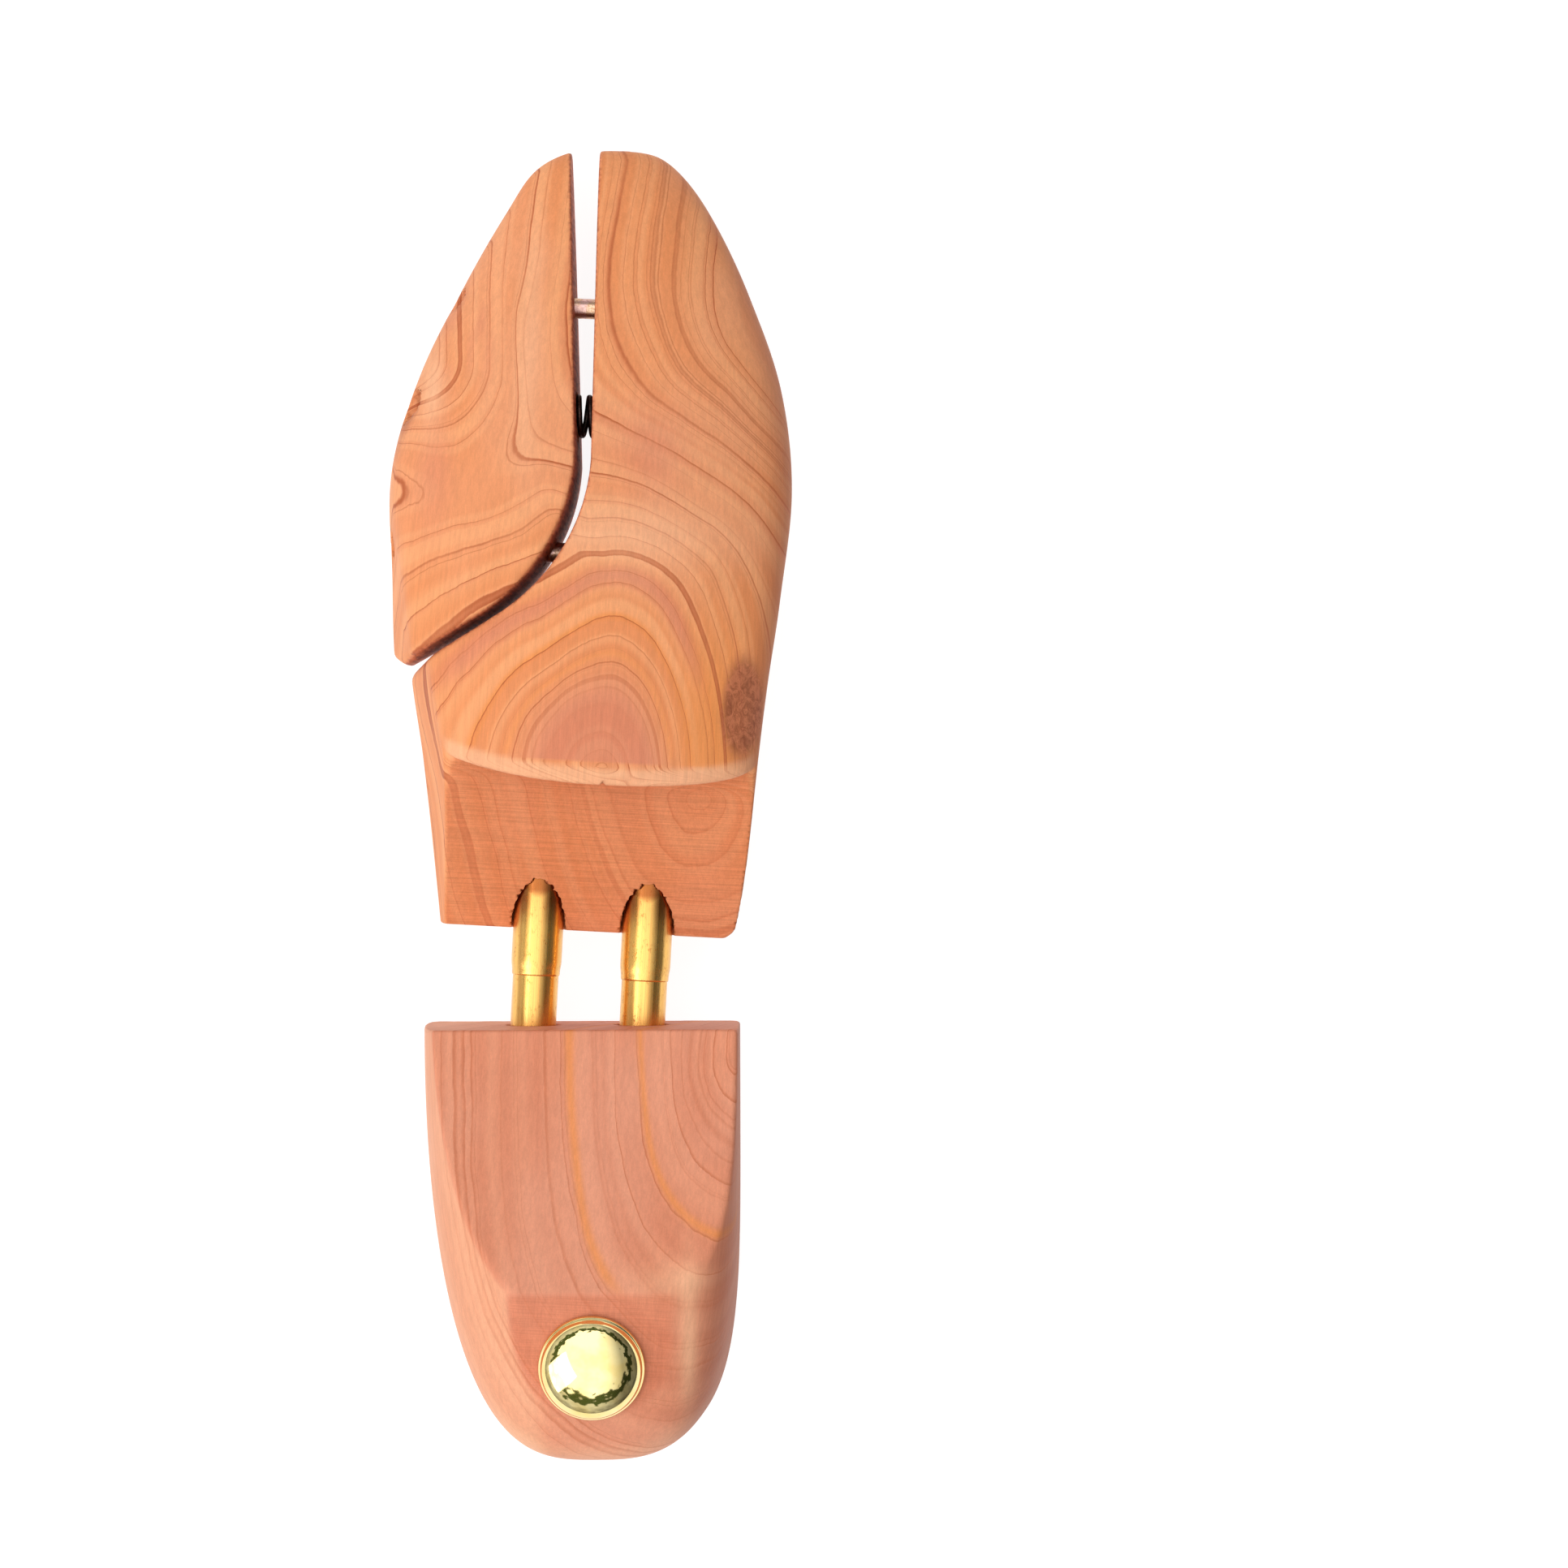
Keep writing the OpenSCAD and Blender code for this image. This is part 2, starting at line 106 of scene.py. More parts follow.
# Y, lateral X, medial X, crest X, crest Z, lateral and medial widest Z, underside Z,
# crown power, overhang and lean of the flank
LAST = np.array([
    [TOE_Y, 1, 5.4, 3.5, 10.5, 9, 9, 8, 2.35, 0, 0],
    [142.2, -6.5, 11.3, 3.5, 14.5, 9, 9, 5.8, 2.35, 0, 0],
    [138, -13.2, 16.8, 3, 17.8, 9, 9, 4.4, 2.35, 0, 0],
    [128, -19.2, 24.2, 3, 21.8, 9.5, 10, 2.6, 2.35, 0, 0],
    [112, -27.2, 32.6, 4, 26.4, 10, 11, 1.0, 2.35, 0, 0],
    [92, -35.7, 40.4, 5, 31.4, 11, 13, 0, 2.35, 0, 0],
    [70, -41.1, 43.8, 6, 36.6, 11.5, 17, 0, 2.3, 0.5, 0.1],
    [45, -39.9, 42.4, 7, 41.2, 12, 25, 0, 2.2, 2.5, 0.24],
    [27, -38.3, 40.7, 7, 43.0, 12, 29, 0, 2.15, 4.5, 0.28],
    [8, -34.6, 39.4, 7, 44.0, 12, 32, 0, 2.15, 5.5, 0.28],
    [REAR_Y - 1, -28.7, 37.7, 6, 45, 11, 30, 0, 2.15, 5, 0.28],
])
KEYS = np.sqrt(np.maximum(TOE_Y - LAST[:, 0], 0))
LOW = np.maximum(np.arange(len(KEYS)) - 1, 0)
HIGH = np.minimum(np.arange(len(KEYS)) + 1, len(KEYS) - 1)
SLOPES = (LAST[HIGH] - LAST[LOW]) / (KEYS[HIGH] - KEYS[LOW])[:, None]


def last_values(y):
    """Smooth curves through the columns of LAST, at Y."""
    k = np.sqrt(np.maximum(TOE_Y - y, 0))
    i = np.clip(np.searchsorted(KEYS, k) - 1, 0, len(KEYS) - 2)
    span = KEYS[i + 1] - KEYS[i]
    t = (k - KEYS[i]) / span
    a = 2 * t ** 3 - 3 * t ** 2 + 1
    b = (t ** 3 - 2 * t ** 2 + t) * span
    c = 3 * t ** 2 - 2 * t ** 3
    d = (t ** 3 - t ** 2) * span
    return [a * LAST[i, n] + b * SLOPES[i, n] + c * LAST[i + 1, n] + d * SLOPES[i + 1, n]
            for n in range(1, 11)]


def last_raw(x, y, z):
    """Level function of the last: two half ovals on each side, 0 on the surface."""
    lat, med, cx, cz, lat_z, med_z, under, crown, over = last_values(y)[:9]
    medial = x >= cx
    side_z = np.where(medial, med_z, lat_z)
    top = z >= side_z
    reach = np.where(medial, med - cx, cx - (lat - np.where(top, over, 0)))
    rise = np.where(top, cz - side_z, side_z - (under - SOLE_PLANED))
    power = np.where(top, crown, np.where(medial, 2.8, 4.0))
    u = np.abs(x - cx) / np.maximum(reach, 0.5)
    v = np.abs(z - side_z) / np.maximum(rise, 0.5)
    return (u ** power + v ** power + 1e-9) ** (1 / power) - 1


def last_distance(x, y, z):
    """The closed last with its leaning flank, flat sole and blunt toe."""
    d = per_distance(last_raw, x, y, z)
    values = last_values(y)
    flank = values[0] + values[9] * np.maximum(z - FLANK_Z, 0) - x
    d = smax(d, flank / np.sqrt(1 + values[9] ** 2), 1.6)
    d = smax(d, y - TOE_Y, 1.2)
    return smax(d, -z, 0.7)


SPLIT_X, SPLIT_Y, SPLIT_R = 0.5, 74.0, 42.0
SPLIT_LEAN, SPLIT_TURN, SPLIT_GAP, SPLIT_FLARE = 0.0377, math.radians(56.4), 3.4, 0.043


def split_distance(x, y, shift, flare):
    """Plan distance to the saw cut, positive on the lateral side of it."""
    cx, cy = SPLIT_X - SPLIT_R + shift, SPLIT_Y
    slope = SPLIT_LEAN + flare
    line = (SPLIT_X + shift - slope * (y - SPLIT_Y) - x) / math.hypot(1, slope)
    arc = SPLIT_R - np.hypot(x - cx, y - cy)
    nx, ny = math.cos(SPLIT_TURN), -math.sin(SPLIT_TURN)
    run = SPLIT_R - ((x - cx) * nx + (y - cy) * ny)
    turned = np.arctan2(cy - y, x - cx)
    return np.where(y > cy, line, np.where((turned < SPLIT_TURN) & (x > cx), arc, run))


LEDGE_ANGLE, LEDGE_Z, LEDGE_Y = math.radians(28), 15.0, 8.5
TUBE_Z, TUBE_MID_X, TUBE_SPACING = 14.5, 5.3, 23.8
TUBE_X = (TUBE_MID_X - TUBE_SPACING / 2, TUBE_MID_X + TUBE_SPACING / 2)
OUTER_PIN_Y, INNER_PIN_Y, PIN_TOP, PIN_D = 23.5, -84.0, 23.5, 2.4
GUIDE_Y, GUIDE_Z, GUIDE_D = (107.9, 84.2, 54.4), 15.0, 4.4
SPRING_Z, POCKET_D, PILOT_D = 17.5, 10.6, 8.0
COUNTERBORE_X, PIN_END_X = (-19.0, -30.0), (17.0, 14.0)
OUTER_BORE_D, OUTER_BORE_END, MOUTH_D, MOUTH_RUN = 11.04, 28.5, 11.8, 13
INNER_BORE_D, INNER_BORE_END, HEEL_MOUTH_D, HEEL_MOUTH_END = 10.04, -92.5, 11.7, -58
COUNTERBORE_D, POCKET_END_X, WING_POCKET_X = 5.6, 9.1, -12.7


def torn(a, b, c, size, amount):
    """Small fixed ripple that makes a drilled or sawn edge look torn."""
    return amount * (np.sin(a * 2.9 / size + 1.3 * np.sin(b * 1.7 / size))
                     * np.sin(c * 2.3 / size + 0.7) + 0.5 * np.sin(b * 5.3 / size + a * 3.1 / size))


def ledge_cut(y, z):
    """Space over the ledge and behind the step, negative inside."""
    corner_z = LEDGE_Z + (LEDGE_Y - REAR_Y) * math.tan(LEDGE_ANGLE)
    c, s = math.cos(LEDGE_ANGLE), math.sin(LEDGE_ANGLE)
    above = -(y - LEDGE_Y) * s + (z - corner_z) * c
    behind = -(y - LEDGE_Y) * c - (z - corner_z) * s
    return smax(-above, -behind, 0.3)


def forefoot_distance(x, y, z):
    """The forefoot: the last on the medial side of the saw cut, less its ledge and bores."""
    d = last_distance(x, y, z)
    split = split_distance(x, y, 0, 0)
    ease = np.where(y < SPLIT_Y - 36, 1.6, 0.7)
    d = smax(d, split, ease)
    corner = (x - 37.7) * 0.6 + (REAR_Y - y) * 0.8 + 2.1
    d = smax(d, corner, 0.9)
    d = smax(d, REAR_Y - y, 0.5)
    d = smax(d, -ledge_cut(y, z), 0.55 + 2.0 * np.clip((z - 30) / 4, 0, 1))
    for tx in TUBE_X:
        mouth = rod(x, y, z, "y", (tx, TUBE_Z), REAR_Y - 5, REAR_Y + MOUTH_RUN, MOUTH_D)
        mouth = mouth + torn(y, x - tx, z, 0.9, 0.07)
        d = smax(d, -mouth, 0.3)
        d = np.maximum(d, -rod(x, y, z, "y", (tx, TUBE_Z), REAR_Y - 5, OUTER_BORE_END, OUTER_BORE_D))
        d = np.maximum(d, -rod(x, y, z, "z", (tx, OUTER_PIN_Y), -5, PIN_TOP, PIN_D))
    for gy, end in ((GUIDE_Y[0], PIN_END_X[0]), (GUIDE_Y[2], PIN_END_X[1])):
        d = np.maximum(d, -rod(x, y, z, "x", (gy, GUIDE_Z), -20, end, GUIDE_D))
    return smax(d, -rod(x, y, z, "x", (GUIDE_Y[1], SPRING_Z), -20, POCKET_END_X, POCKET_D), 0.4)


def wing_distance(x, y, z):
    """The wing: the last on the lateral side of the saw cut, moved out by the gap."""
    d = last_distance(x + SPLIT_GAP, y, z)
    split = -split_distance(x, y, -SPLIT_GAP, SPLIT_FLARE)
    ease = np.clip((SPLIT_Y + 6 - y) / 30, 0, 1) * 1.3 + 0.7
    d = smax(d, split, ease)
    tip = (28.1 - y) * 0.86 + (-39 - x) * 0.5 + 0.3
    d = smax(d, tip, 0.8)
    for gy, bore in ((GUIDE_Y[0], COUNTERBORE_X[0]), (GUIDE_Y[2], COUNTERBORE_X[1])):
        d = np.maximum(d, -rod(x, y, z, "x", (gy, GUIDE_Z), -60, 15, GUIDE_D + 0.1))
        hole = rod(x, y, z, "x", (gy, GUIDE_Z), -60, bore, COUNTERBORE_D) + torn(x, y, z, 0.8, 0.09)
        d = smax(d, -hole, 0.35)
    hole = rod(x, y, z, "x", (GUIDE_Y[1], SPRING_Z), -60, 15, PILOT_D) + torn(x, y, z, 0.9, 0.11)
    d = smax(d, -hole, 0.4)
    return smax(d, -rod(x, y, z, "x", (GUIDE_Y[1], SPRING_Z), WING_POCKET_X, 15, POCKET_D), 0.4)


HEEL_MID_X, HEEL_FRONT_Y, HEEL_TURN = 7.5, -48.1, math.radians(3.2)
HEEL_L, HEEL_LAT, HEEL_MED = 93.4, 38.0, 31.0
RIDGE_Z, FRONT_Z, RIDGE_BACK, FACET = 50.0, 36.0, 54.5, math.radians(9)
WIDE_Z, DOME_Z, EDGE_ROUND = 12.0, 56.0, 4.0
KNOB_SIDE, KNOB_BACK, KNOB_R, KNOB_RIM_H, KNOB_DOME_H = -0.1, 70.4, 11.3, 1.95, 4.6


def heel_local(x, y):
    """Across and back from the middle of the heel's front edge, in its own turned axes."""
    c, s = math.cos(HEEL_TURN), math.sin(HEEL_TURN)
    dx, dy = x - HEEL_MID_X, y - HEEL_FRONT_Y
    return dx * c + dy * s, dx * s - dy * c


def heel_raw(x, y, z):
    """Level function of the heel before its slope and facet are cut, 0 on the surface."""
    across, back = heel_local(x, y)
    rise = np.clip((z - WIDE_Z) / (DOME_Z - WIDE_Z), 0, 0.98)
    t = np.clip((EDGE_ROUND - z) / EDGE_ROUND, 0, 1)
    inset = EDGE_ROUND * (1 - np.sqrt(1 - 0.75 * t * t))
    length = HEEL_L * np.sqrt(1 - rise ** 4.8) - inset
    lateral = (HEEL_LAT - 2.9 * rise) * np.sqrt(1 - rise ** 3.6) - inset
    medial = HEEL_MED * np.sqrt(1 - rise ** 6.9) - inset
    left = across < 0
    u = np.abs(across) / np.where(left, lateral, medial)
    v = np.maximum(back, 0) / length
    value = u ** np.where(left, 3.05, 2.95) + v ** np.where(left, 2.2, 5.7 - 3.4 * rise)
    return np.sqrt(value + 1e-9) - 1


def slope_height(back):
    """Height of the heel's front slope above the floor."""
    run = np.clip(back, 0.0, RIDGE_BACK * 1.15) / RIDGE_BACK
    return FRONT_Z + (RIDGE_Z - FRONT_Z) * run ** 1.3


def heel_distance(x, y, z):
    """The heel: its domed body cut by the front slope and the knob's facet, less its bores."""
    d = per_distance(heel_raw, x, y, z)
    across, back = heel_local(x, y)
    run = np.clip(back, 0.0, RIDGE_BACK * 1.15) / RIDGE_BACK
    slope_z = slope_height(back)
    grade = (RIDGE_Z - FRONT_Z) * 1.3 / RIDGE_BACK * run ** 0.3
    slope = (z - slope_z) / np.sqrt(1 + grade * grade)
    facet = (z - RIDGE_Z + (back - RIDGE_BACK) * math.tan(FACET)) * math.cos(FACET)
    soft = 0.35 + 2.6 * np.clip((across - 10) / 16, 0, 1)
    d = smax(d, facet, soft)
    d = smax(d, slope, 0.4 + 0.8 * np.clip((across - 14) / 14, 0, 1))
    d = smax(d, -back, 0.7)
    d = smax(d, -z, 0.5)
    for tx in TUBE_X:
        d = np.maximum(d, -rod(x, y, z, "y", (tx, TUBE_Z), INNER_BORE_END, -20, INNER_BORE_D))
        d = smax(d, -rod(x, y, z, "y", (tx, TUBE_Z), HEEL_MOUTH_END, -20, HEEL_MOUTH_D), 0.4)
        d = np.maximum(d, -rod(x, y, z, "z", (tx, INNER_PIN_Y), -5, PIN_TOP, PIN_D))
    origin, tilt = knob_place()
    c, s = math.cos(tilt), math.sin(tilt)
    kx, kb = across - KNOB_SIDE, -(back - KNOB_BACK)
    kz = z - origin[2]
    side = kb * c + kz * s
    deep = -kb * s + kz * c
    screw = np.maximum(np.sqrt(kx * kx + side * side) - 1.6, np.abs(deep + 11.5) - 13.5)
    return np.maximum(d, -screw)


def knob_place():
    """Where the knob stands on the heel's rear facet: origin in millimetres, and tilt."""
    c, s = math.cos(HEEL_TURN), math.sin(HEEL_TURN)
    x = HEEL_MID_X + KNOB_SIDE * c + KNOB_BACK * s
    y = HEEL_FRONT_Y + KNOB_SIDE * s - KNOB_BACK * c
    z = RIDGE_Z - (KNOB_BACK - RIDGE_BACK) * math.tan(FACET)
    return (x, y, z), FACET


# ---------------------------------------------------------------- meshes

def gradient(field, p, step=0.08):
    """Unit outward direction of a distance field at points p."""
    out = np.empty_like(p)
    for n in range(3):
        shift = np.zeros(3)
        shift[n] = step
        out[:, n] = (field(*(p + shift).T) - field(*(p - shift).T)) / (2 * step)
    return out / np.maximum(np.linalg.norm(out, axis=1), 1e-6)[:, None]


def surface_net(field, low, high, cell):
    """Quad mesh of the zero level of field, one vertex per cell that the level crosses."""
    axes = [np.arange(low[n], high[n] + cell, cell) for n in range(3)]
    d = np.empty([len(a) for a in axes], np.float32)
    for j in range(0, len(axes[1]), 12):
        ys = axes[1][j:j + 12]
        d[:, j:j + 12, :] = field(axes[0][:, None, None], ys[None, :, None], axes[2][None, None, :])
    inside = d < 0
    count = np.zeros([s - 1 for s in d.shape], np.int8)
    corners = [(a, b, c) for a in (0, 1) for b in (0, 1) for c in (0, 1)]
    nx, ny, nz = d.shape
    for a, b, c in corners:
        count += inside[a:nx - 1 + a, b:ny - 1 + b, c:nz - 1 + c]
    cells = np.argwhere((count > 0) & (count < 8))
    index = np.full(count.shape, -1, np.int64)
    index[tuple(cells.T)] = np.arange(len(cells))
    total, hits = np.zeros((len(cells), 3)), np.zeros(len(cells))
    for i, p in enumerate(corners):
        for q in corners[i + 1:]:
            if sum(abs(p[n] - q[n]) for n in range(3)) != 1:
                continue
            a = d[tuple((cells + p).T)].astype(float)
            b = d[tuple((cells + q).T)].astype(float)
            cross = (a < 0) != (b < 0)
            t = np.where(cross, a / np.where(cross, a - b, 1), 0)
            total += cross[:, None] * (np.array(p) + t[:, None] * (np.array(q) - np.array(p)))
            hits += cross
    points = np.array([a[0] for a in axes]) + cell * (cells + total / hits[:, None])
    faces = []
    for n in range(3):
        u, v = (n + 1) % 3, (n + 2) % 3
        near, far = [slice(None)] * 3, [slice(None)] * 3
        near[n], far[n] = slice(None, -1), slice(1, None)
        change = inside[tuple(near)] != inside[tuple(far)]
        for w in (u, v):
            edge = [slice(None)] * 3
            for end in (0, -1):
                edge[w] = end
                change[tuple(edge)] = False
            edge[w] = slice(None)
        where = np.argwhere(change)
        outward = inside[tuple(where.T)]
        ring = []
        for du, dv in ((-1, -1), (0, -1), (0, 0), (-1, 0)):
            c = where.copy()
            c[:, u] += du
            c[:, v] += dv
            ring.append(index[tuple(c.T)])
        quad = np.stack(ring, 1)
        quad[~outward] = quad[~outward][:, ::-1]
        faces.append(quad)
    faces = np.concatenate(faces)
    for _ in range(4):
        off = np.clip(field(*points.T), -0.3, 0.3)
        points -= off[:, None] * gradient(field, points)
    return points, faces


def mesh_object(name, points, faces, material, normals=None):
    """A smooth-shaded object from points in millimetres."""
    mesh = bpy.data.meshes.new(name)
    mesh.from_pydata((np.asarray(points) * MM).tolist(), [], [list(f) for f in faces])
    mesh.polygons.foreach_set("use_smooth", [True] * len(mesh.polygons))
    if normals is not None:
        mesh.normals_split_custom_set_from_vertices(normals.tolist())
    mesh.update()
    mesh.materials.append(material)
    obj = bpy.data.objects.new(name, mesh)
    bpy.context.scene.collection.objects.link(obj)
    return obj


def block(name, field, low, high, cell, material, node, body):
    """A wood block meshed from its distance field, in place of its CAD node."""
    points, faces = surface_net(field, low, high, cell)
    obj = mesh_object(name, points, faces.tolist(), material, gradient(field, points, 0.12))
    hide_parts(node)
    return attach(obj, body)


def with_support(profile, near=0.2, long=1.2):
    """Adds a ring close to each end of a long straight run, so its shading stays straight."""
    out = []
    for one, two in zip(profile, profile[1:]):
        out.append(one)
        run = math.hypot(two[0] - one[0], two[1] - one[1])
        if run > long and min(one[1], two[1]) > 1e-6:
            for share in (near / run, 1 - near / run):
                out.append(tuple(a + share * (b - a) for a, b in zip(one, two)))
    return out + [profile[-1]]


def lathe(name, profile, place, material, sides=96, closed=True, crease=32):
    """Turns a profile of (height, radius) points; place maps (height, a, b) to X, Y, Z."""
    points, faces = [], []
    rings = []
    for h, r in with_support(profile):
        if r < 1e-6:
            rings.append([len(points)])
            points.append(place(h, 0.0, 0.0))
            continue
        ring = []
        for i in range(sides):
            a = 2 * math.pi * i / sides
            ring.append(len(points))
            points.append(place(h, r * math.cos(a), r * math.sin(a)))
        rings.append(ring)
    pairs = list(zip(rings, rings[1:] + (rings[:1] if closed else [])))
    for one, two in pairs if closed else pairs[:len(rings) - 1]:
        for i in range(sides):
            k = (i + 1) % sides
            if len(one) == 1 and len(two) == 1:
                continue
            if len(one) == 1:
                faces.append((one[0], two[i], two[k]))
            elif len(two) == 1:
                faces.append((one[i], two[0], one[k]))
            else:
                faces.append((one[i], two[i], two[k], one[k]))
    obj = mesh_object(name, points, faces, material)
    outward_faces(obj)
    obj.data.set_sharp_from_angle(angle=math.radians(crease))
    return obj


def outward_faces(obj):
    """Turns the faces outwards where the mesh's signed volume says they point in."""
    mesh = obj.data
    co = np.empty(len(mesh.vertices) * 3)
    mesh.vertices.foreach_get("co", co)
    co = co.reshape(-1, 3)
    mesh.calc_loop_triangles()
    tri = np.empty(len(mesh.loop_triangles) * 3, np.int32)
    mesh.loop_triangles.foreach_get("vertices", tri)
    a, b, c = co[tri.reshape(-1, 3)].transpose(1, 0, 2)
    if np.einsum("ij,ij->i", a, np.cross(b, c)).sum() < 0:
        mesh.flip_normals()


def sweep(name, path, radius, material, sides=12):
    """Round wire along a path, with rounded ends."""
    path = np.asarray(path, float)
    tangent = np.gradient(path, axis=0)
    tangent /= np.linalg.norm(tangent, axis=1)[:, None]
    side = np.cross(tangent[0], [0.3, 0.2, 0.93])
    side /= np.linalg.norm(side)
    points, faces = [], []
    for i, (p, t) in enumerate(zip(path, tangent)):
        side = side - t * side.dot(t)
        side /= np.linalg.norm(side)
        other = np.cross(t, side)
        for n in range(sides):
            a = 2 * math.pi * n / sides
            points.append(p + radius * (math.cos(a) * side + math.sin(a) * other))
        if i:
            for n in range(sides):
                k, m = (i - 1) * sides, (n + 1) % sides
                faces.append((k + n, k + m, k + sides + m, k + sides + n))
    for end, ring, sign in ((path[0], 0, -1), (path[-1], len(path) - 1, 1)):
        points.append(end + sign * radius * 0.35 * tangent[ring])
        for n in range(sides):
            k, m = ring * sides, (n + 1) % sides
            faces.append((k + m, k + n, len(points) - 1)[::sign])
    obj = mesh_object(name, points, faces, material)
    outward_faces(obj)
    return obj


# ---------------------------------------------------------------- growth rings

def lattice_noise(x, y, z, size, seed):
    """Smooth noise from -1 to 1 on a fixed random lattice; size is one length or three."""
    size = np.broadcast_to(np.asarray(size, float), 3)
    table = np.random.default_rng(seed).uniform(-1, 1, (64, 64, 64))
    cell, part = [], []
    for value, s in zip((x, y, z), size):
        v = np.asarray(value, float) / s + 17.37
        whole = np.floor(v)
        t = v - whole
        cell.append(whole.astype(int))
        part.append(t * t * (3 - 2 * t))
    total = 0
    for a in (0, 1):
        for b in (0, 1):
            for c in (0, 1):
                weight = ((part[0] if a else 1 - part[0]) * (part[1] if b else 1 - part[1])
                          * (part[2] if c else 1 - part[2]))
                total = total + weight * table[(cell[0] + a) % 64, (cell[1] + b) % 64,
                                               (cell[2] + c) % 64]
    return total


def arch(dx, dy, power):
    """Distance that is straight-sided where dy is 0 and arched where it grows."""
    return (np.abs(dx) ** power + np.maximum(dy, 0) ** power + 1e-6) ** (1 / power)


def step(value, low, high):
    """0 below low, 1 above high, smooth between."""
    t = np.clip((value - low) / (high - low), 0, 1)
    return t * t * (3 - 2 * t)


def spot(x, y, z, centre, radii):
    """1 at centre, fading with distance over radii."""
    r = sum(((v - c) / s) ** 2 for v, c, s in zip((x, y, z), centre, radii))
    return np.exp(-r)


def crown_height(x, y):
    """Rough height of the top of the last, which the rings are laid out on."""
    values = last_values(np.clip(y, 8, TOE_Y - 3))
    half = np.where(x > values[2], values[1] - values[2], values[2] - values[0])
    u = np.clip(np.abs(x - values[2]) / half, 0, 0.93)
    return 12 + (values[3] - 12) * np.sqrt(1 - u ** 2.3)


def forefoot_level(x, y, z):
    """Age of the wood, in millimetres of growth: arches over the heart, then the toe's sweep."""
    wing = step(-x - 0.4 * (y - 60), -2, 8) * step(y, 20, 40)
    wx = x + 1.1 * lattice_noise(x, y, z, (19, 30, 19), 3)
    wy = y + (2.0 + 1.6 * wing) * lattice_noise(x, y, z, (16, 19, 24), 4)
    dx = wx - 7.0
    dx = np.where(dx > 0, 2.0 * dx, -1.55 * 34 * np.tanh(-dx / 34))
    heart = arch(dx, wy - 2, 2.05)
    heart = heart + 15 * spot(x, y, z, (-41, 84, 18), (11, 15, 16))
    sweep = np.where(wx > 0, 1.15, 1.75) * wx + 104 + 1.6 * np.sin((wy - 90) / 15.0)
    blend = step(wy, 46 + 14 * wing, 120 - 26 * wing)
    level = heart + (sweep - heart) * blend
    level = level + 9 * spot(x, y, z, (38.5, 20, 25), (6, 13, 13))
    depth = np.clip(crown_height(x, y) - z, 0, 40)
    top = level + (0.42 - 0.3 * wing * blend) * depth

    lx = x + 0.7 * lattice_noise(x, y, z, (11, 19, 11), 6)
    ly = y + 1.4 * lattice_noise(x, y, z, (13, 13, 13), 7)
    ledge = arch(lx - 27.5, 0.64 * (4.5 - ly), 2.2) + 0.25 * (34 - z)
    low = step(34 - z, 0, 8)
    return ledge + (top - ledge) * step(y, 4.0 - 14 * low, 8.6 + 30 * low)


def heel_level(x, y, z):
    """Age of the heel's wood, in millimetres of growth: arcs round its front medial corner."""
    across, back = heel_local(x, y)
    wx = across + 0.9 * lattice_noise(x, y, z, (12, 26, 14), 8)
    wb = back + 1.8 * lattice_noise(x, y, z, (12, 16, 14), 9)
    level = arch(wx - 35.5, 0.57 * wb, 2.6)
    run = np.clip(back, 0.0, 80) / RIDGE_BACK
    return level + 0.36 * (FRONT_Z + 14 * run ** 1.3 - z)


def forefoot_tones(x, y, z):
    """How much each point is ledge (sawn face, painted darker as shade), knot, pale (a painted highlight on
    the eased step edge, and a paler band over the top), purple heart or yellow wood, 0 to 1.
    """
    level = forefoot_level(x, y, z)
    low_ledge = -ledge_cut(y, z)
    on_ledge = step(low_ledge, -0.25, -0.02) * step(-y, -9.2, -8.0)
    knot = spot(x, y, z, (35.5, 22, 34), (5.0, 12.5, 15)) * 1.6
    top = step(y, 8.6, 9.5)
    purple = 1.1 * step(27 - level, -5, 9) * top
    purple = purple + 0.9 * step(1 - np.abs(level - 46.5) / 4.0, 0, 1) * step(y, 20, 30)
    purple = purple + 0.7 * spot(x, y, z, (13, 76, 34), (7, 10, 20))
    yellow = step(1 - np.abs(level - 37.5) / 1.5, 0, 1) * step(y, 9, 11)
    yellow = yellow + 0.5 * step(1 - np.abs(level - 29.5) / 1.2, 0, 1) * step(y, 9, 11)
    yellow = yellow + step(x, 19, 29) * step(-y, -48, -22) * top * (1 - 0.6 * step(x, 34, 38))
    low = step(-z, -15, -9)
    # Painted highlight: the eased top edge of the step is painted paler, where light falls on it.
    pale = 0.85 * step(4.6 - ledge_cut(y, z), 0, 1.5) * step(z, 33, 36.5) * (1 - on_ledge)
    pale = pale + 0.7 * spot(x, y, z, (8, 58, 40), (22, 7, 20))
    return {"ledge": on_ledge, "knot": np.clip(knot, 0, 1), "pale": np.clip(pale - low, 0, 1),
            "purple": np.clip(purple, 0, 1), "yellow": np.clip(yellow, 0, 1)}


def cut_share(x, y, shift, flare):
    """1 on the saw-cut face, 0 elsewhere."""
    near = np.abs(split_distance(x, y, shift, flare))
    return 1 - step(near, 0.12, 0.55)


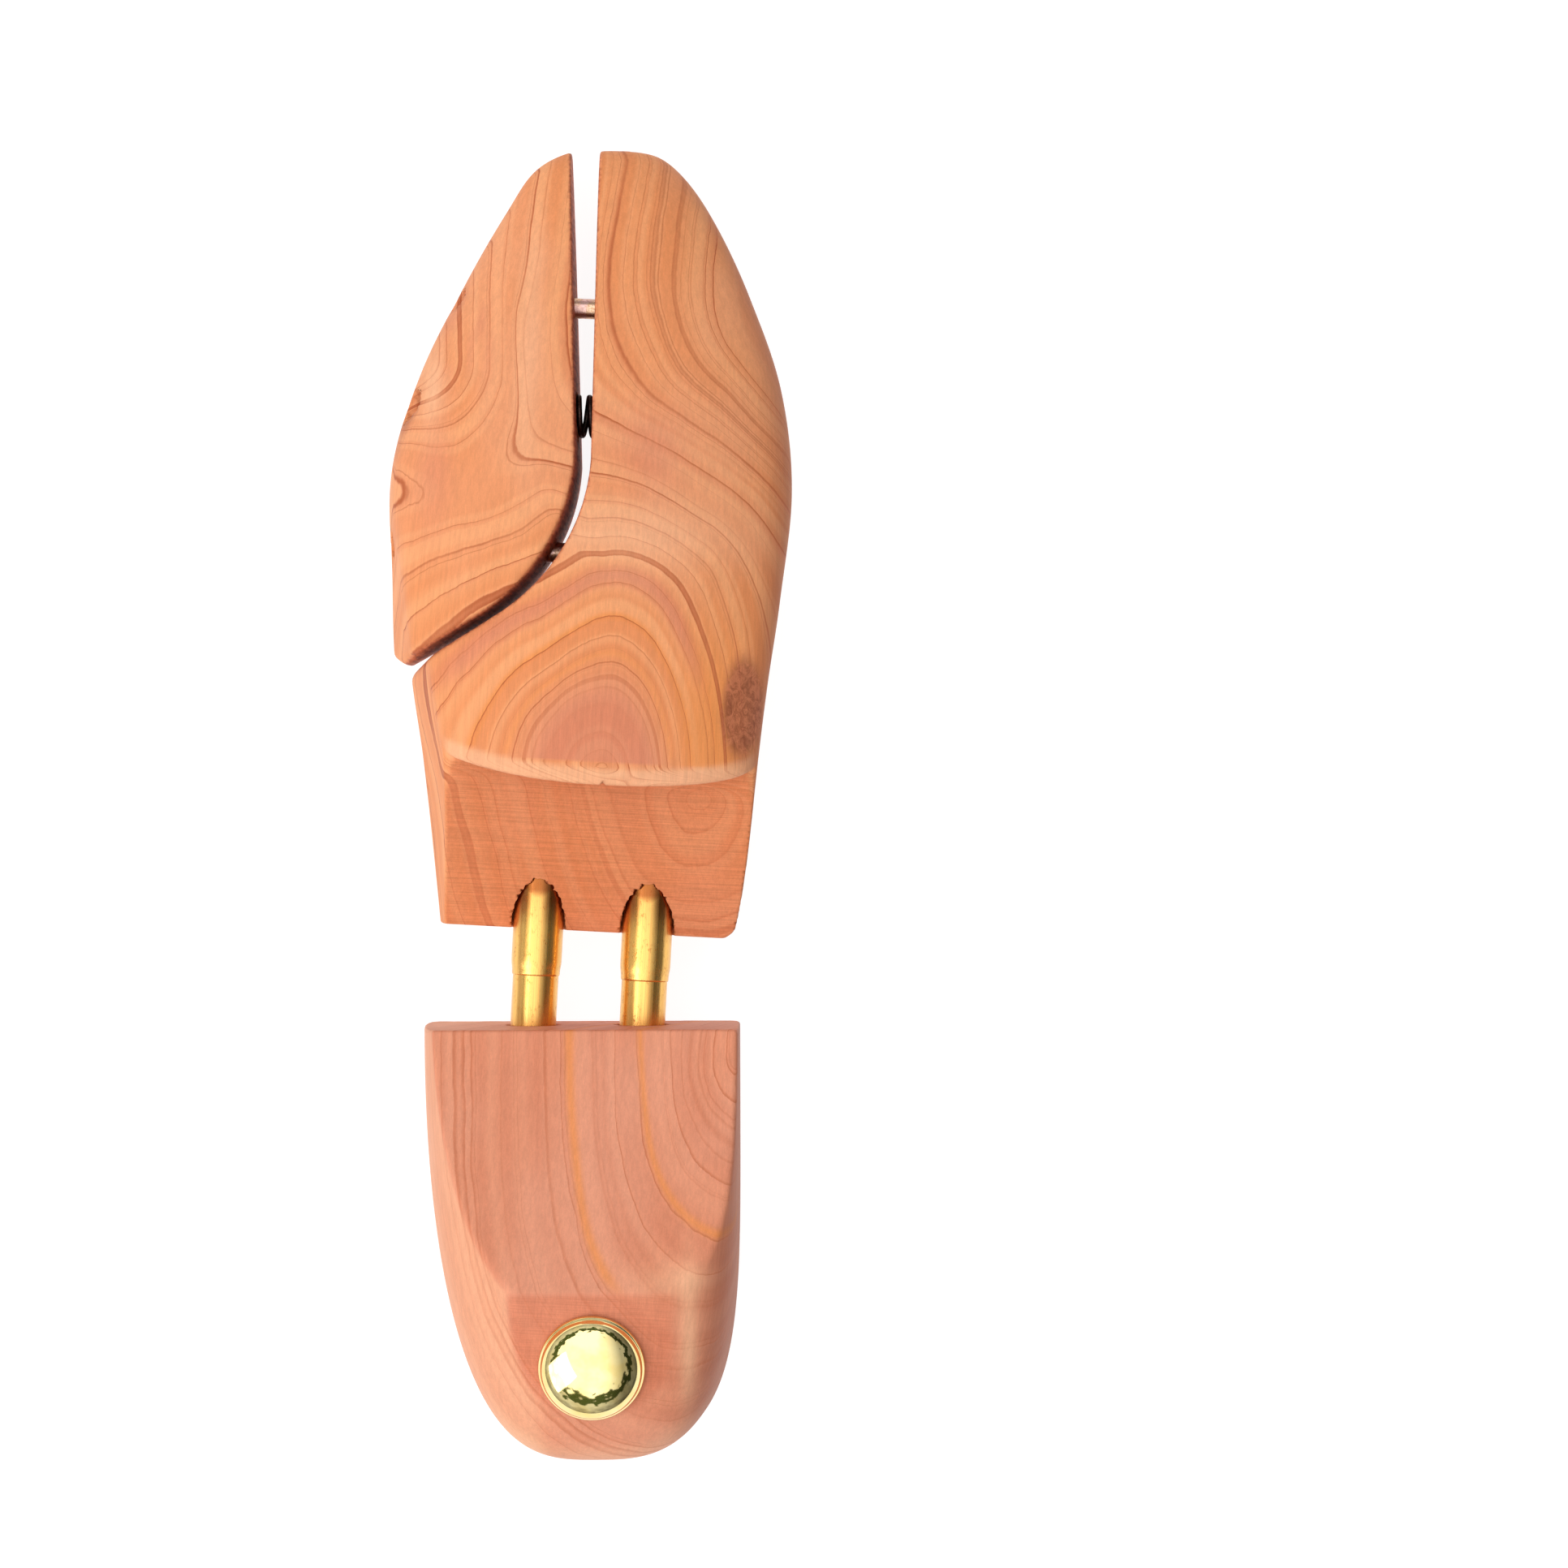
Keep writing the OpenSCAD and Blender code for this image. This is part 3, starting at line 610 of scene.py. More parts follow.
def wing_tones(x, y, z):
    """The wing's shares: torn wood round its holes, a purple patch and pale streaks."""
    purple = 1.2 * spot(x, y, z, (-29, 100, 25), (5, 11, 20)) * step(
        lattice_noise(x, y, z, (2.2, 9, 6), 12), -0.5, 0.5)
    purple = purple + 0.7 * spot(x, y, z, (-33, 70, 20), (4, 14, 20))
    pale = spot(x, y, z, (-35, 88, 20), (3, 9, 20)) + 0.6 * spot(x, y, z, (-14, 100, 30), (3, 30, 20))
    knot = 0.9 * spot(x, y, z, (-40, 84, 19), (4.5, 6, 7)) + 0.6 * spot(x, y, z, (-42, 74, 18), (4, 7, 9))
    knot = knot + 0.8 * spot(x, y, z, (-32, 108, 18), (4, 4.5, 6))
    knot = knot + 0.7 * spot(x, y, z, (-43, 54, 18), (3, 4, 6))
    return {"ledge": 0 * x, "knot": np.clip(knot, 0, 1),
            "purple": np.clip(purple, 0, 1), "yellow": 0 * x, "pale": np.clip(pale, 0, 1)}


def heel_tones(x, y, z):
    """The heel's shares: two yellow streaks; the knob's facet made redder and darker, which is painted
    shade, with saw marks; and painted highlights on the ridge, the lateral flank and the low rear.
    """
    level = heel_level(x, y, z)
    across, back = heel_local(x, y)
    yellow = step(1 - np.abs(level - 40.7) / 1.5, 0, 1) + step(1 - np.abs(level - 25.6) / 1.2, 0, 1)
    yellow = yellow * step(RIDGE_BACK + 2 - back, 0, 6)
    # Painted shade: the knob's facet gets the ledge's saw marks and darker, redder colour, and some purple.
    facet = step(back, RIDGE_BACK - 0.5, RIDGE_BACK + 1.5) * step(
        z + (back - RIDGE_BACK) * math.tan(FACET), RIDGE_Z - 1.1, RIDGE_Z - 0.1)
    # Painted highlights: the ridge's corner, the lateral flank under the crest and the low rear are painted
    # paler, where light falls on them.
    heel_painted_light = spot(across, back, z, (20.5, 68, 46), (2.0, 17, 8)) + 0.7 * spot(
        across, back, z, (19, RIDGE_BACK - 2, 49), (9, 4, 5))
    crest = np.minimum(slope_height(back), RIDGE_Z - (back - RIDGE_BACK) * math.tan(FACET))
    flank = step(crest - 0.4 - z, 0, 0.8) * step(-across, 8, 14)
    heel_painted_light = heel_painted_light + 0.55 * flank + 0.5 * step(back, 76, 90) * step(-z, -42, -36)
    facet = facet * step(-across, -19, -15)
    return {"ledge": facet * 0.7, "knot": 0 * x, "purple": 0.45 * facet,
            "yellow": np.clip(yellow, 0, 1), "pale": np.clip(heel_painted_light, 0, 1)}


def medial_painted_shade(mesh):
    """Painted shade: darker, redder colour on the faces of the medial side, picked by their normals."""
    normals = np.empty(len(mesh.vertices) * 3)
    mesh.vertex_normals.foreach_get("vector", normals)
    return step(normals[0::3], 0.5, 0.95)


def paint(obj, level, tones, cut):
    """Stores the wood's fields on the mesh, for the material to read."""
    mesh = obj.data
    co = np.empty(len(mesh.vertices) * 3)
    mesh.vertices.foreach_get("co", co)
    x, y, z = (co.reshape(-1, 3) / MM).T
    fields = {"level": level(x, y, z), "cut": cut(x, y, z), "medial_painted_shade": medial_painted_shade(mesh)}
    fields.update(tones(x, y, z))
    for key, value in fields.items():
        attribute = mesh.attributes.new(key, "FLOAT", "POINT")
        attribute.data.foreach_set("value", np.asarray(value, np.float32) + np.zeros(len(x), np.float32))
    return obj


# ---------------------------------------------------------------- materials

def tone(r, g, b):
    """Linear colour from eight-bit sRGB."""
    c = [v / 255 for v in (r, g, b)]
    return [v / 12.92 if v <= 0.04045 else ((v + 0.055) / 1.055) ** 2.4 for v in c] + [1.0]


class Net:
    """Short calls for building one material's nodes."""

    def __init__(self, name):
        self.material = bpy.data.materials.new(name)
        self.material.use_nodes = True
        self.tree = self.material.node_tree
        self.tree.nodes.clear()
        self.shader = self.tree.nodes.new("ShaderNodeBsdfPrincipled")
        out = self.tree.nodes.new("ShaderNodeOutputMaterial")
        self.tree.links.new(self.shader.outputs[0], out.inputs[0])

    def feed(self, socket, value):
        if isinstance(value, bpy.types.NodeSocket):
            self.tree.links.new(value, socket)
        elif value is not None:
            socket.default_value = value

    def math(self, operation, a, b=None, c=None, clamp=False):
        node = self.tree.nodes.new("ShaderNodeMath")
        node.operation, node.use_clamp = operation, clamp
        for socket, value in zip(node.inputs, (a, b, c)):
            self.feed(socket, value)
        return node.outputs[0]

    def vector(self, operation, a, b=None):
        node = self.tree.nodes.new("ShaderNodeVectorMath")
        node.operation = operation
        self.feed(node.inputs[0], a)
        self.feed(node.inputs[1], b)
        return node.outputs[0]

    def place(self):
        """Object position in millimetres."""
        node = self.tree.nodes.new("ShaderNodeTexCoord")
        return self.vector("MULTIPLY", node.outputs["Object"], (1 / MM,) * 3)

    def split(self, vector):
        node = self.tree.nodes.new("ShaderNodeSeparateXYZ")
        self.feed(node.inputs[0], vector)
        return node.outputs

    def join(self, x, y, z):
        node = self.tree.nodes.new("ShaderNodeCombineXYZ")
        for socket, value in zip(node.inputs, (x, y, z)):
            self.feed(socket, value)
        return node.outputs[0]

    def field(self, name):
        node = self.tree.nodes.new("ShaderNodeAttribute")
        node.attribute_name = name
        return node.outputs["Fac"]

    def noise(self, vector, scale, detail=2.0, rough=0.5, warp=0.0):
        node = self.tree.nodes.new("ShaderNodeTexNoise")
        self.feed(node.inputs["Vector"], vector)
        node.inputs["Scale"].default_value = scale
        node.inputs["Detail"].default_value = detail
        node.inputs["Roughness"].default_value = rough
        node.inputs["Distortion"].default_value = warp
        return node.outputs["Fac"]

    def line_noise(self, value, scale, detail=1.0):
        """Noise along one number."""
        node = self.tree.nodes.new("ShaderNodeTexNoise")
        node.noise_dimensions = "1D"
        self.feed(node.inputs["W"], value)
        node.inputs["Scale"].default_value = scale
        node.inputs["Detail"].default_value = detail
        return node.outputs["Fac"]

    def hash(self, value):
        node = self.tree.nodes.new("ShaderNodeTexWhiteNoise")
        node.noise_dimensions = "1D"
        self.feed(node.inputs["W"], value)
        return node.outputs["Value"]

    def remap(self, value, low, high, a=0.0, b=1.0, smooth=True):
        node = self.tree.nodes.new("ShaderNodeMapRange")
        node.interpolation_type = "SMOOTHSTEP" if smooth else "LINEAR"
        self.feed(node.inputs["Value"], value)
        for key, v in (("From Min", low), ("From Max", high), ("To Min", a), ("To Max", b)):
            self.feed(node.inputs[key], v)
        return node.outputs["Result"]

    def mix(self, share, a, b, mode="MIX"):
        node = self.tree.nodes.new("ShaderNodeMix")
        node.data_type, node.blend_type = "RGBA", mode
        self.feed(node.inputs["Factor"], share)
        self.feed(node.inputs["A"], a)
        self.feed(node.inputs["B"], b)
        return [o for o in node.outputs if o.type == "RGBA"][0]

    def bump(self, height, distance, strength=1.0):
        node = self.tree.nodes.new("ShaderNodeBump")
        node.inputs["Strength"].default_value = strength
        node.inputs["Distance"].default_value = distance
        self.feed(node.inputs["Height"], height)
        self.feed(self.shader.inputs["Normal"], node.outputs[0])

    def set(self, **values):
        for key, value in values.items():
            self.feed(self.shader.inputs[key.replace("_", " ")], value)


def cedar(name, spacing, seed, base, deep, blush, contrast=1.0):
    """Unfinished cedar: growth lines from the level field, coloured bands, fibres and saw marks, with
    painted shade and painted highlights read from the mesh's fields.
    """
    n = Net(name)
    p = n.place()
    level = n.field("level")
    ledge, cut, knot = n.field("ledge"), n.field("cut"), n.field("knot")
    purple, yellow = n.field("purple"), n.field("yellow")
    pale, medial_painted_shade = n.field("pale"), n.field("medial_painted_shade")
    drift = n.noise(n.vector("MULTIPLY", p, (0.10, 0.05, 0.10)), 1.0, 1.0, 0.5)
    ripple = n.noise(n.vector("MULTIPLY", p, (0.5, 0.3, 0.5)), 1.0, 2.0, 0.6)
    along = n.math("ADD", level, n.math("MULTIPLY", n.math("SUBTRACT", drift, 0.5), 1.6))
    along = n.math("ADD", along, n.math("MULTIPLY", n.math("SUBTRACT", ripple, 0.5), 0.5))
    uneven = n.line_noise(n.math("ADD", along, seed * 37.0), 0.09, 2.0)
    phase = n.math("ADD", n.math("DIVIDE", along, spacing), n.math("MULTIPLY", uneven, 3.2))
    part, ring = n.math("FRACT", phase), n.math("FLOOR", phase)
    weight = n.remap(n.hash(n.math("ADD", ring, seed * 7.1)), 0.0, 0.8, 0.3, 1.0)
    patchy = n.remap(n.noise(n.vector("MULTIPLY", p, (0.05, 0.03, 0.05)), 1.0, 1.0), 0.3, 0.6, 0.6, 1.0)
    weight = n.math("MULTIPLY", weight, patchy)
    fade = n.math("SUBTRACT", 1.0, n.remap(part, 0.955, 0.99))
    line = n.math("MULTIPLY", n.remap(part, 0.85, 0.94), fade)
    halo = n.math("MULTIPLY", n.math("POWER", n.remap(part, 0.35, 0.97, smooth=False), 2.5), fade)
    other = n.math("FRACT", n.math("ADD", phase, n.math("ADD", 0.13, n.math(
        "MULTIPLY", n.hash(n.math("ADD", ring, 3.3)), 0.22))))
    second = n.math("MULTIPLY", n.remap(other, 0.9, 0.955), n.math(
        "SUBTRACT", 1.0, n.remap(other, 0.955, 0.985)))
    second = n.math("MULTIPLY", second, n.remap(n.hash(n.math("ADD", ring, 9.7)), 0.3, 0.8))

    band = n.line_noise(n.math("ADD", along, 11.0 + seed), 0.16, 2.0)
    cloud = n.noise(n.vector("MULTIPLY", p, (0.03, 0.02, 0.03)), 1.0, 2.0)
    colour = n.mix(n.remap(band, 0.36, 0.64), base, deep)
    colour = n.mix(n.math("MULTIPLY", n.remap(cloud, 0.42, 0.66), 0.55), colour, blush)
    colour = n.mix(n.math("MULTIPLY", purple, 0.62), colour, tone(203, 120, 98))
    colour = n.mix(n.math("MULTIPLY", yellow, 0.7), colour, tone(231, 143, 76))
    # Painted highlight: the pale field lightens the colour and quiets the rings; on the forefoot's step
    # edge and the heel's ridge, flank and low rear it stands for light, on the wing it marks pale streaks.
    colour = n.mix(n.math("MULTIPLY", pale, 0.7), colour, tone(240, 184, 146))
    # Painted shade: faces of the medial side are mixed towards a dark red-brown.
    colour = n.mix(n.math("MULTIPLY", medial_painted_shade, 0.5), colour, tone(142, 72, 46))
    quiet = n.math("MAXIMUM", n.math("MULTIPLY", ledge, 0.5), n.math("MULTIPLY", purple, 0.85))
    quiet = n.math("MAXIMUM", quiet, n.math("MULTIPLY", pale, 0.8))
    clear = n.math("SUBTRACT", 1.0, quiet)
    halo = n.math("MULTIPLY", n.math("MULTIPLY", halo, weight), 0.62 * contrast)
    halo = n.math("MULTIPLY", halo, clear)
    colour = n.mix(halo, colour, tone(203, 113, 76))
    strong = n.math("MULTIPLY", n.math("MULTIPLY", line, weight), 0.86 * contrast)
    strong = n.math("MAXIMUM", strong, n.math("MULTIPLY", second, 0.5 * contrast))
    strong = n.math("MULTIPLY", strong, clear)
    colour = n.mix(strong, colour, tone(174, 88, 50))

    streak = n.noise(n.vector("MULTIPLY", p, (1.3, 0.05, 1.3)), 1.0, 3.0, 0.6)
    fibre = n.noise(n.vector("MULTIPLY", p, (5.0, 0.35, 5.0)), 1.0, 3.0, 0.6)
    mottle = n.noise(p, 2.6, 3.0, 0.65)
    shade = n.remap(streak, 0.3, 0.7, 0.95, 1.05)
    shade = n.math("MULTIPLY", shade, n.remap(fibre, 0.28, 0.72, 0.955, 1.04))
    shade = n.math("MULTIPLY", shade, n.remap(mottle, 0.3, 0.7, 0.975, 1.02))
    saw = n.noise(n.vector("MULTIPLY", p, (0.06, 3.4, 0.5)), 1.0, 3.0, 0.7)
    sawn = n.remap(saw, 0.35, 0.68, 1.06, 0.88)
    sawn = n.math("ADD", 1.0, n.math("MULTIPLY", ledge, n.math("SUBTRACT", sawn, 1.0)))
    shade = n.math("MULTIPLY", shade, sawn)
    # Painted shade: the sawn ledge and the heel's knob facet are mixed darker and redder; their saw marks
    # are real texture.
    colour = n.mix(n.math("MULTIPLY", ledge, 0.5), colour, tone(203, 110, 72))
    swirl = n.noise(n.vector("MULTIPLY", p, (0.55, 0.4, 0.5)), 1.0, 5.0, 0.75, 1.6)
    knotted = n.mix(n.remap(swirl, 0.36, 0.62), tone(126, 66, 48), tone(186, 110, 80))
    rim = n.math("MULTIPLY", knot, n.remap(n.math("ADD", knot, n.math("MULTIPLY", swirl, 0.7)), 0.75, 1.25))
    colour = n.mix(n.math("MULTIPLY", rim, 0.85), colour, knotted)
    # Painted shade: the saw-cut faces in the gap between forefoot and wing are darkened towards red-brown
    # in vertical streaks; the same streaks feed the bump.
    cut_face_streak = n.noise(n.vector("MULTIPLY", p, (1.2, 1.2, 0.10)), 1.0, 3.0, 0.6)
    cut_face_painted_shade = n.mix(n.remap(cut_face_streak, 0.35, 0.65), tone(166, 88, 62), tone(222, 136, 98))
    colour = n.mix(n.math("MULTIPLY", cut, 0.9), colour, cut_face_painted_shade)
    grey = n.join(shade, shade, shade)
    colour = n.mix(1.0, colour, grey, "MULTIPLY")

    relief = n.math("ADD", n.math("MULTIPLY", fibre, 0.5), n.math("MULTIPLY", mottle, 0.35))
    relief = n.math("SUBTRACT", relief, n.math("MULTIPLY", strong, 0.5))
    relief = n.math("ADD", relief, n.math("MULTIPLY", n.math("MULTIPLY", saw, ledge), 1.2))
    relief = n.math("ADD", relief, n.math("MULTIPLY", n.math("MULTIPLY", cut_face_streak, cut), 1.5))
    rough = n.remap(n.math("ADD", fibre, n.math("MULTIPLY", ledge, 0.3)), 0.3, 1.0, 0.5, 0.74)
    n.set(Base_Color=colour, Roughness=rough, Specular_IOR_Level=0.12)
    n.bump(relief, 0.00006, 0.55)
    return n.material


def brass(name, base, dark, rough, patch):
    """Drawn brass tube: lengthwise lines, mottled tarnish and fine scratches, and a painted reflection of
    the wood notch, dark orange, at the forefoot's mouth.
    """
    n = Net(name)
    p = n.place()
    line = n.noise(n.vector("MULTIPLY", p, (7.0, 0.02, 7.0)), 1.0, 3.0, 0.6)
    blotch = n.noise(n.vector("MULTIPLY", p, (0.9, 0.35, 0.9)), 1.0, 4.0, 0.7)
    speck = n.noise(n.vector("MULTIPLY", p, (3.5, 1.6, 3.5)), 1.0, 3.0, 0.75)
    stain = n.math("MULTIPLY", n.remap(blotch, 0.5, 0.66), n.remap(speck, 0.46, 0.6))
    colour = n.mix(n.math("MULTIPLY", stain, patch), base, dark)
    colour = n.mix(n.math("MULTIPLY", n.remap(line, 0.42, 0.6), 0.2), colour, dark)
    # Painted reflection: from the forefoot's mouth inwards the tubes are mixed to dark orange, stronger
    # towards their sides, standing for the wood notch reflected in the brass; mouth darkens the whole ring
    # from Y -22.
    along = n.math("ADD", n.split(p)[1], n.math("MULTIPLY", blotch, 5.0))
    mid = (TUBE_X[0] + TUBE_X[1]) / 2
    off = n.math("ABSOLUTE", n.math("SUBTRACT", n.split(p)[0], mid))
    off = n.math("ABSOLUTE", n.math("SUBTRACT", off, TUBE_X[1] - mid))
    notch_painted_reflection = n.math("MULTIPLY", n.remap(along, -27.0, -18.0), n.remap(off, 0.5, 3.2, 0.2, 0.9))
    mouth = n.math("MULTIPLY", n.remap(n.split(p)[1], -22.0, -19.0), 0.88)
    colour = n.mix(n.math("MAXIMUM", notch_painted_reflection, mouth), colour, tone(150, 70, 24))
    n.set(Base_Color=colour, Metallic=1.0, Coat_Weight=0.25, Coat_Roughness=0.12,
          Roughness=n.math("ADD", n.remap(line, 0.3, 0.7, rough, rough + 0.1),
                           n.math("MULTIPLY", stain, 0.16)))
    n.bump(n.math("ADD", n.math("MULTIPLY", line, 0.7), n.math("MULTIPLY", speck, 0.25)), 0.00003, 0.35)
    return n.material


def polished():
    """Mirror-polished brass with a few hairline scratches."""
    n = Net("polished_brass")
    p = n.place()
    hair = n.noise(n.vector("MULTIPLY", p, (0.5, 9.0, 0.5)), 1.0, 4.0, 0.8, 0.6)
    cloud = n.noise(p, 0.16, 3.0, 0.6)
    scratch = n.remap(hair, 0.66, 0.74)
    colour = n.mix(n.remap(cloud, 0.35, 0.7), tone(250, 232, 168), tone(244, 218, 140))
    n.set(Base_Color=colour, Metallic=1.0, Coat_Weight=0.1, Coat_Roughness=0.05,
          Roughness=n.math("ADD", n.remap(cloud, 0.3, 0.7, 0.045, 0.075),
                           n.math("MULTIPLY", scratch, 0.08)))
    n.bump(n.math("ADD", n.math("MULTIPLY", scratch, 0.2), n.math("MULTIPLY", cloud, 0.8)), 0.00004, 0.08)
    return n.material


def steel(name, base, dark, rough, tint=None):
    """Turned or drawn steel, optionally with the rainbow stain of zinc plate."""
    n = Net(name)
    p = n.place()
    turned = n.noise(n.vector("MULTIPLY", p, (2.5, 2.5, 2.5)), 1.0, 3.0, 0.7)
    cloud = n.noise(p, 0.35, 3.0, 0.6)
    colour = n.mix(n.remap(turned, 0.35, 0.7), base, dark)
    if tint:
        colour = n.mix(n.math("MULTIPLY", n.remap(cloud, 0.4, 0.62), 0.7), colour, tint)
    n.set(Base_Color=colour, Metallic=1.0,
          Roughness=n.remap(turned, 0.3, 0.7, rough - 0.06, rough + 0.1))
    n.bump(turned, 0.00003, 0.3)
    return n.material


# ---------------------------------------------------------------- pieces

def wood_blocks():
    """The three cedar blocks; forefoot and wing share one piece of wood."""
    fore = cedar("cedar_forefoot", 6.2, 1.0, tone(234, 158, 108), tone(224, 140, 90), tone(230, 158, 118))
    rear = cedar("cedar_heel", 5.0, 2.0, tone(220, 144, 112), tone(210, 131, 100), tone(224, 155, 127),
                 0.5)
    low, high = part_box("forefoot_block")
    grid = [[v / MM - 1.2 for v in low], [v / MM + 1.2 for v in high]]
    front = block("forefoot_wood", forefoot_distance, *grid, 0.67, fore, "forefoot_block", "forefoot")
    paint(front, forefoot_level, forefoot_tones, lambda x, y, z: cut_share(x, y, 0, 0))
    low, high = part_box("toe_wing")
    grid = [[v / MM - 1.2 for v in low], [v / MM + 1.2 for v in high]]
    wing = block("wing_wood", wing_distance, *grid, 0.55, fore, "toe_wing", "wing")
    paint(wing, forefoot_level, wing_tones,
          lambda x, y, z: cut_share(x, y, -SPLIT_GAP, SPLIT_FLARE))
    low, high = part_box("heel_block")
    grid = [[v / MM - 1.2 for v in low], [v / MM + 1.2 for v in high]]
    heel = block("heel_wood", heel_distance, *grid, 0.62, rear, "heel_block", "heel")
    paint(heel, heel_level, heel_tones, lambda x, y, z: 0 * x)


def tubes():
    """Crimped outer tubes in the forefoot and plain inner tubes in the heel."""
    gold = brass("brass_tube", tone(250, 196, 108), tone(190, 108, 34), 0.22, 0.75)
    crimp = -38.0
    outer = [(0.0, 5.09), (0.12, 5.19), (0.4, 5.24), (1.1, 5.26), (1.8, 5.34), (2.5, 5.44), (3.2, 5.49),
             (4.2, 5.5), (65.6, 5.5), (66.0, 5.4), (66.0, 5.2), (2.2, 5.2), (1.7, 5.08), (0.1, 5.05)]
    inner = [(-92.0, 4.7), (-92.0, 4.9), (-91.7, 5.0), (-36.2, 5.0), (-36.0, 5.12), (-35.4, 5.15),
             (-34.8, 5.12), (-34.6, 5.0), (-10.2, 5.0), (-9.9, 5.14), (-8.2, 5.15), (-8.0, 5.0),
             (-8.0, 4.7), (-8.3, 4.6), (-91.8, 4.6)]
    for side, tx in zip(("lateral", "medial"), TUBE_X):
        place = lambda h, a, b, tx=tx: (tx + a, crimp + h, TUBE_Z + b)
        tube = lathe("outer_tube_%s_brass" % side, outer, place, gold)
        finish_piece(tube, "outer_tube_" + side, "forefoot")
        place = lambda h, a, b, tx=tx: (tx + a, h, TUBE_Z + b)
        tube = lathe("inner_tube_%s_brass" % side, inner, place, gold)
        finish_piece(tube, "inner_tube_" + side, "heel")


def finish_piece(obj, node, body):
    """Takes the place of its CAD node and rides on body."""
    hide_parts(node)
    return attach(obj, body)


def coil(turns, length, radius, wire, hand=1):
    """Centre line of a compression spring along +h with closed ends, as (h, a, b) points."""
    steps = int(turns * 40)
    closed = 0.9
    path = []
    for i in range(steps + 1):
        t = turns * i / steps
        grow = np.clip((t - closed) / (turns - 2 * closed), 0, 1)
        h = wire / 2 + min(t, closed) * wire * 0.55 / closed
        h += max(t - (turns - closed), 0) * wire * 0.55 / closed
        h += grow * (length - wire - 1.1 * wire)
        a = hand * 2 * math.pi * t
        path.append((h, radius * math.cos(a), radius * math.sin(a)))
    return path


def springs():
    """The black spring in the split, and a plain one in each tube."""
    black = steel("black_spring", tone(92, 76, 70), tone(44, 36, 34), 0.36)
    plain = steel("plain_steel", tone(196, 196, 198), tone(140, 140, 144), 0.32)
    low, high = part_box("toe_spring")
    start, length = low[0] / MM, (high[0] - low[0]) / MM
    path = [(start + h, GUIDE_Y[1] + a, SPRING_Z + b)
            for h, a, b in coil(9.6, length, 4.15, 1.3)]
    spring = sweep("toe_spring_wire", path, 0.65, black, 14)
    finish_piece(spring, "toe_spring", "forefoot")
    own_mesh(spring)
    for side, tx in zip(("lateral", "medial"), TUBE_X):
        low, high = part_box("tube_spring_" + side)
        start, length = low[1] / MM, (high[1] - low[1]) / MM
        path = [(tx + a, start + h, TUBE_Z + b) for h, a, b in coil(7, length, 4.3, 1.1)]
        spring = sweep("tube_spring_%s_wire" % side, path, 0.55, plain, 10)
        finish_piece(spring, "tube_spring_" + side, "forefoot")
        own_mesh(spring)
    return plain


def guide_pins():
    """Headed pins across the split."""
    zinc = steel("zinc_steel", tone(240, 206, 176), tone(216, 168, 124), 0.3, tone(226, 184, 186))
    for n, (name, gy) in enumerate((("front", GUIDE_Y[0]), ("rear", GUIDE_Y[2]))):
        start, end = COUNTERBORE_X[n], PIN_END_X[n]
        r = GUIDE_D / 2
        profile = [(start - 1.2, 0), (start - 1.18, 1.6), (start - 0.95, 2.4), (start - 0.7, 2.6),
                   (start - 0.15, 2.6), (start - 0.05, 2.5), (start - 0.05, r), (end - 0.5, r),
                   (end - 0.05, r - 0.5), (end - 0.03, 0)]
        place = lambda h, a, b, gy=gy: (h, gy + a, GUIDE_Z + b)
        pin = lathe(name + "_guide_pin_zinc", profile, place, zinc, 64, closed=False)
        finish_piece(pin, name + "_guide_pin", "forefoot")


def knob():
    """Pressed brass cap with a thin rim and a low dome."""
    origin, tilt = knob_place()
    r = KNOB_R
    rim = [(0.02, r - 0.45), (0.12, r - 0.15), (0.4, r - 0.01), (1.15, r),
           (1.55, r - 0.09), (1.8, r - 0.34)]
    dome = [(KNOB_RIM_H + KNOB_DOME_H * math.sin(a), (r - 0.62) * math.cos(a) ** 0.92)
            for a in np.linspace(0.04, math.pi / 2 - 0.02, 26)]
    profile = rim + dome + [(KNOB_RIM_H + KNOB_DOME_H, 0.0)]
    inner, wall = r - 1.25, 0.6
    hollow = [(KNOB_RIM_H + (KNOB_DOME_H - wall) * math.sin(a), inner * math.cos(a))
              for a in np.linspace(math.pi / 2 - 0.1, 0.0, 12)]
    shell = [(KNOB_RIM_H + KNOB_DOME_H - wall, 0.0)] + hollow + [(0.02, inner)]
    cz, sz = math.cos(tilt), math.sin(tilt)
    ch, sh = math.cos(HEEL_TURN), math.sin(HEEL_TURN)

    def place(h, a, b):
        back, up = b * cz - h * sz, b * sz + h * cz
        return (origin[0] + a * ch - back * sh, origin[1] + a * sh + back * ch, origin[2] + up)

    cap = lathe("heel_knob_brass", profile + shell, place, polished(), 128, closed=True, crease=50)
    finish_piece(cap, "heel_knob_cap", "heel")


def carried_over(plain):
    """CAD nodes whose shape is right keep their mesh and get the steel finish."""
    for name in ("spring_seat_lateral", "spring_seat_medial", "outer_tube_pin_lateral",
                 "outer_tube_pin_medial", "inner_tube_pin_lateral", "inner_tube_pin_medial",
                 "heel_knob_plate", "heel_knob_screw"):
        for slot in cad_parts[name].material_slots:
            slot.material = plain


# ---------------------------------------------------------------- stage, camera and lights

CAMERA_OFFSET, CAMERA_HEIGHT, CAMERA_ROLL = (0.04566, 0.00543), 0.950, math.radians(3.0)
FLOOR_HALF, FLOOR_CELLS, FLOOR_Z = 30000, 6, -0.02


def camera():
    """Looks straight down from above a point beside the tree, as one of a pair is seen."""
    data = bpy.data.cameras.new("camera")
    data.sensor_width, data.lens = 36, 98.25
    obj = bpy.data.objects.new("camera", data)
    bpy.context.scene.collection.objects.link(obj)
    low, high = cad_box
    middle = [(a + b) / 2 + offset for a, b, offset in zip(low, high, CAMERA_OFFSET)]
    obj.location = (*middle, CAMERA_HEIGHT)
    obj.rotation_euler = (0, 0, CAMERA_ROLL)
    bpy.context.scene.camera = obj


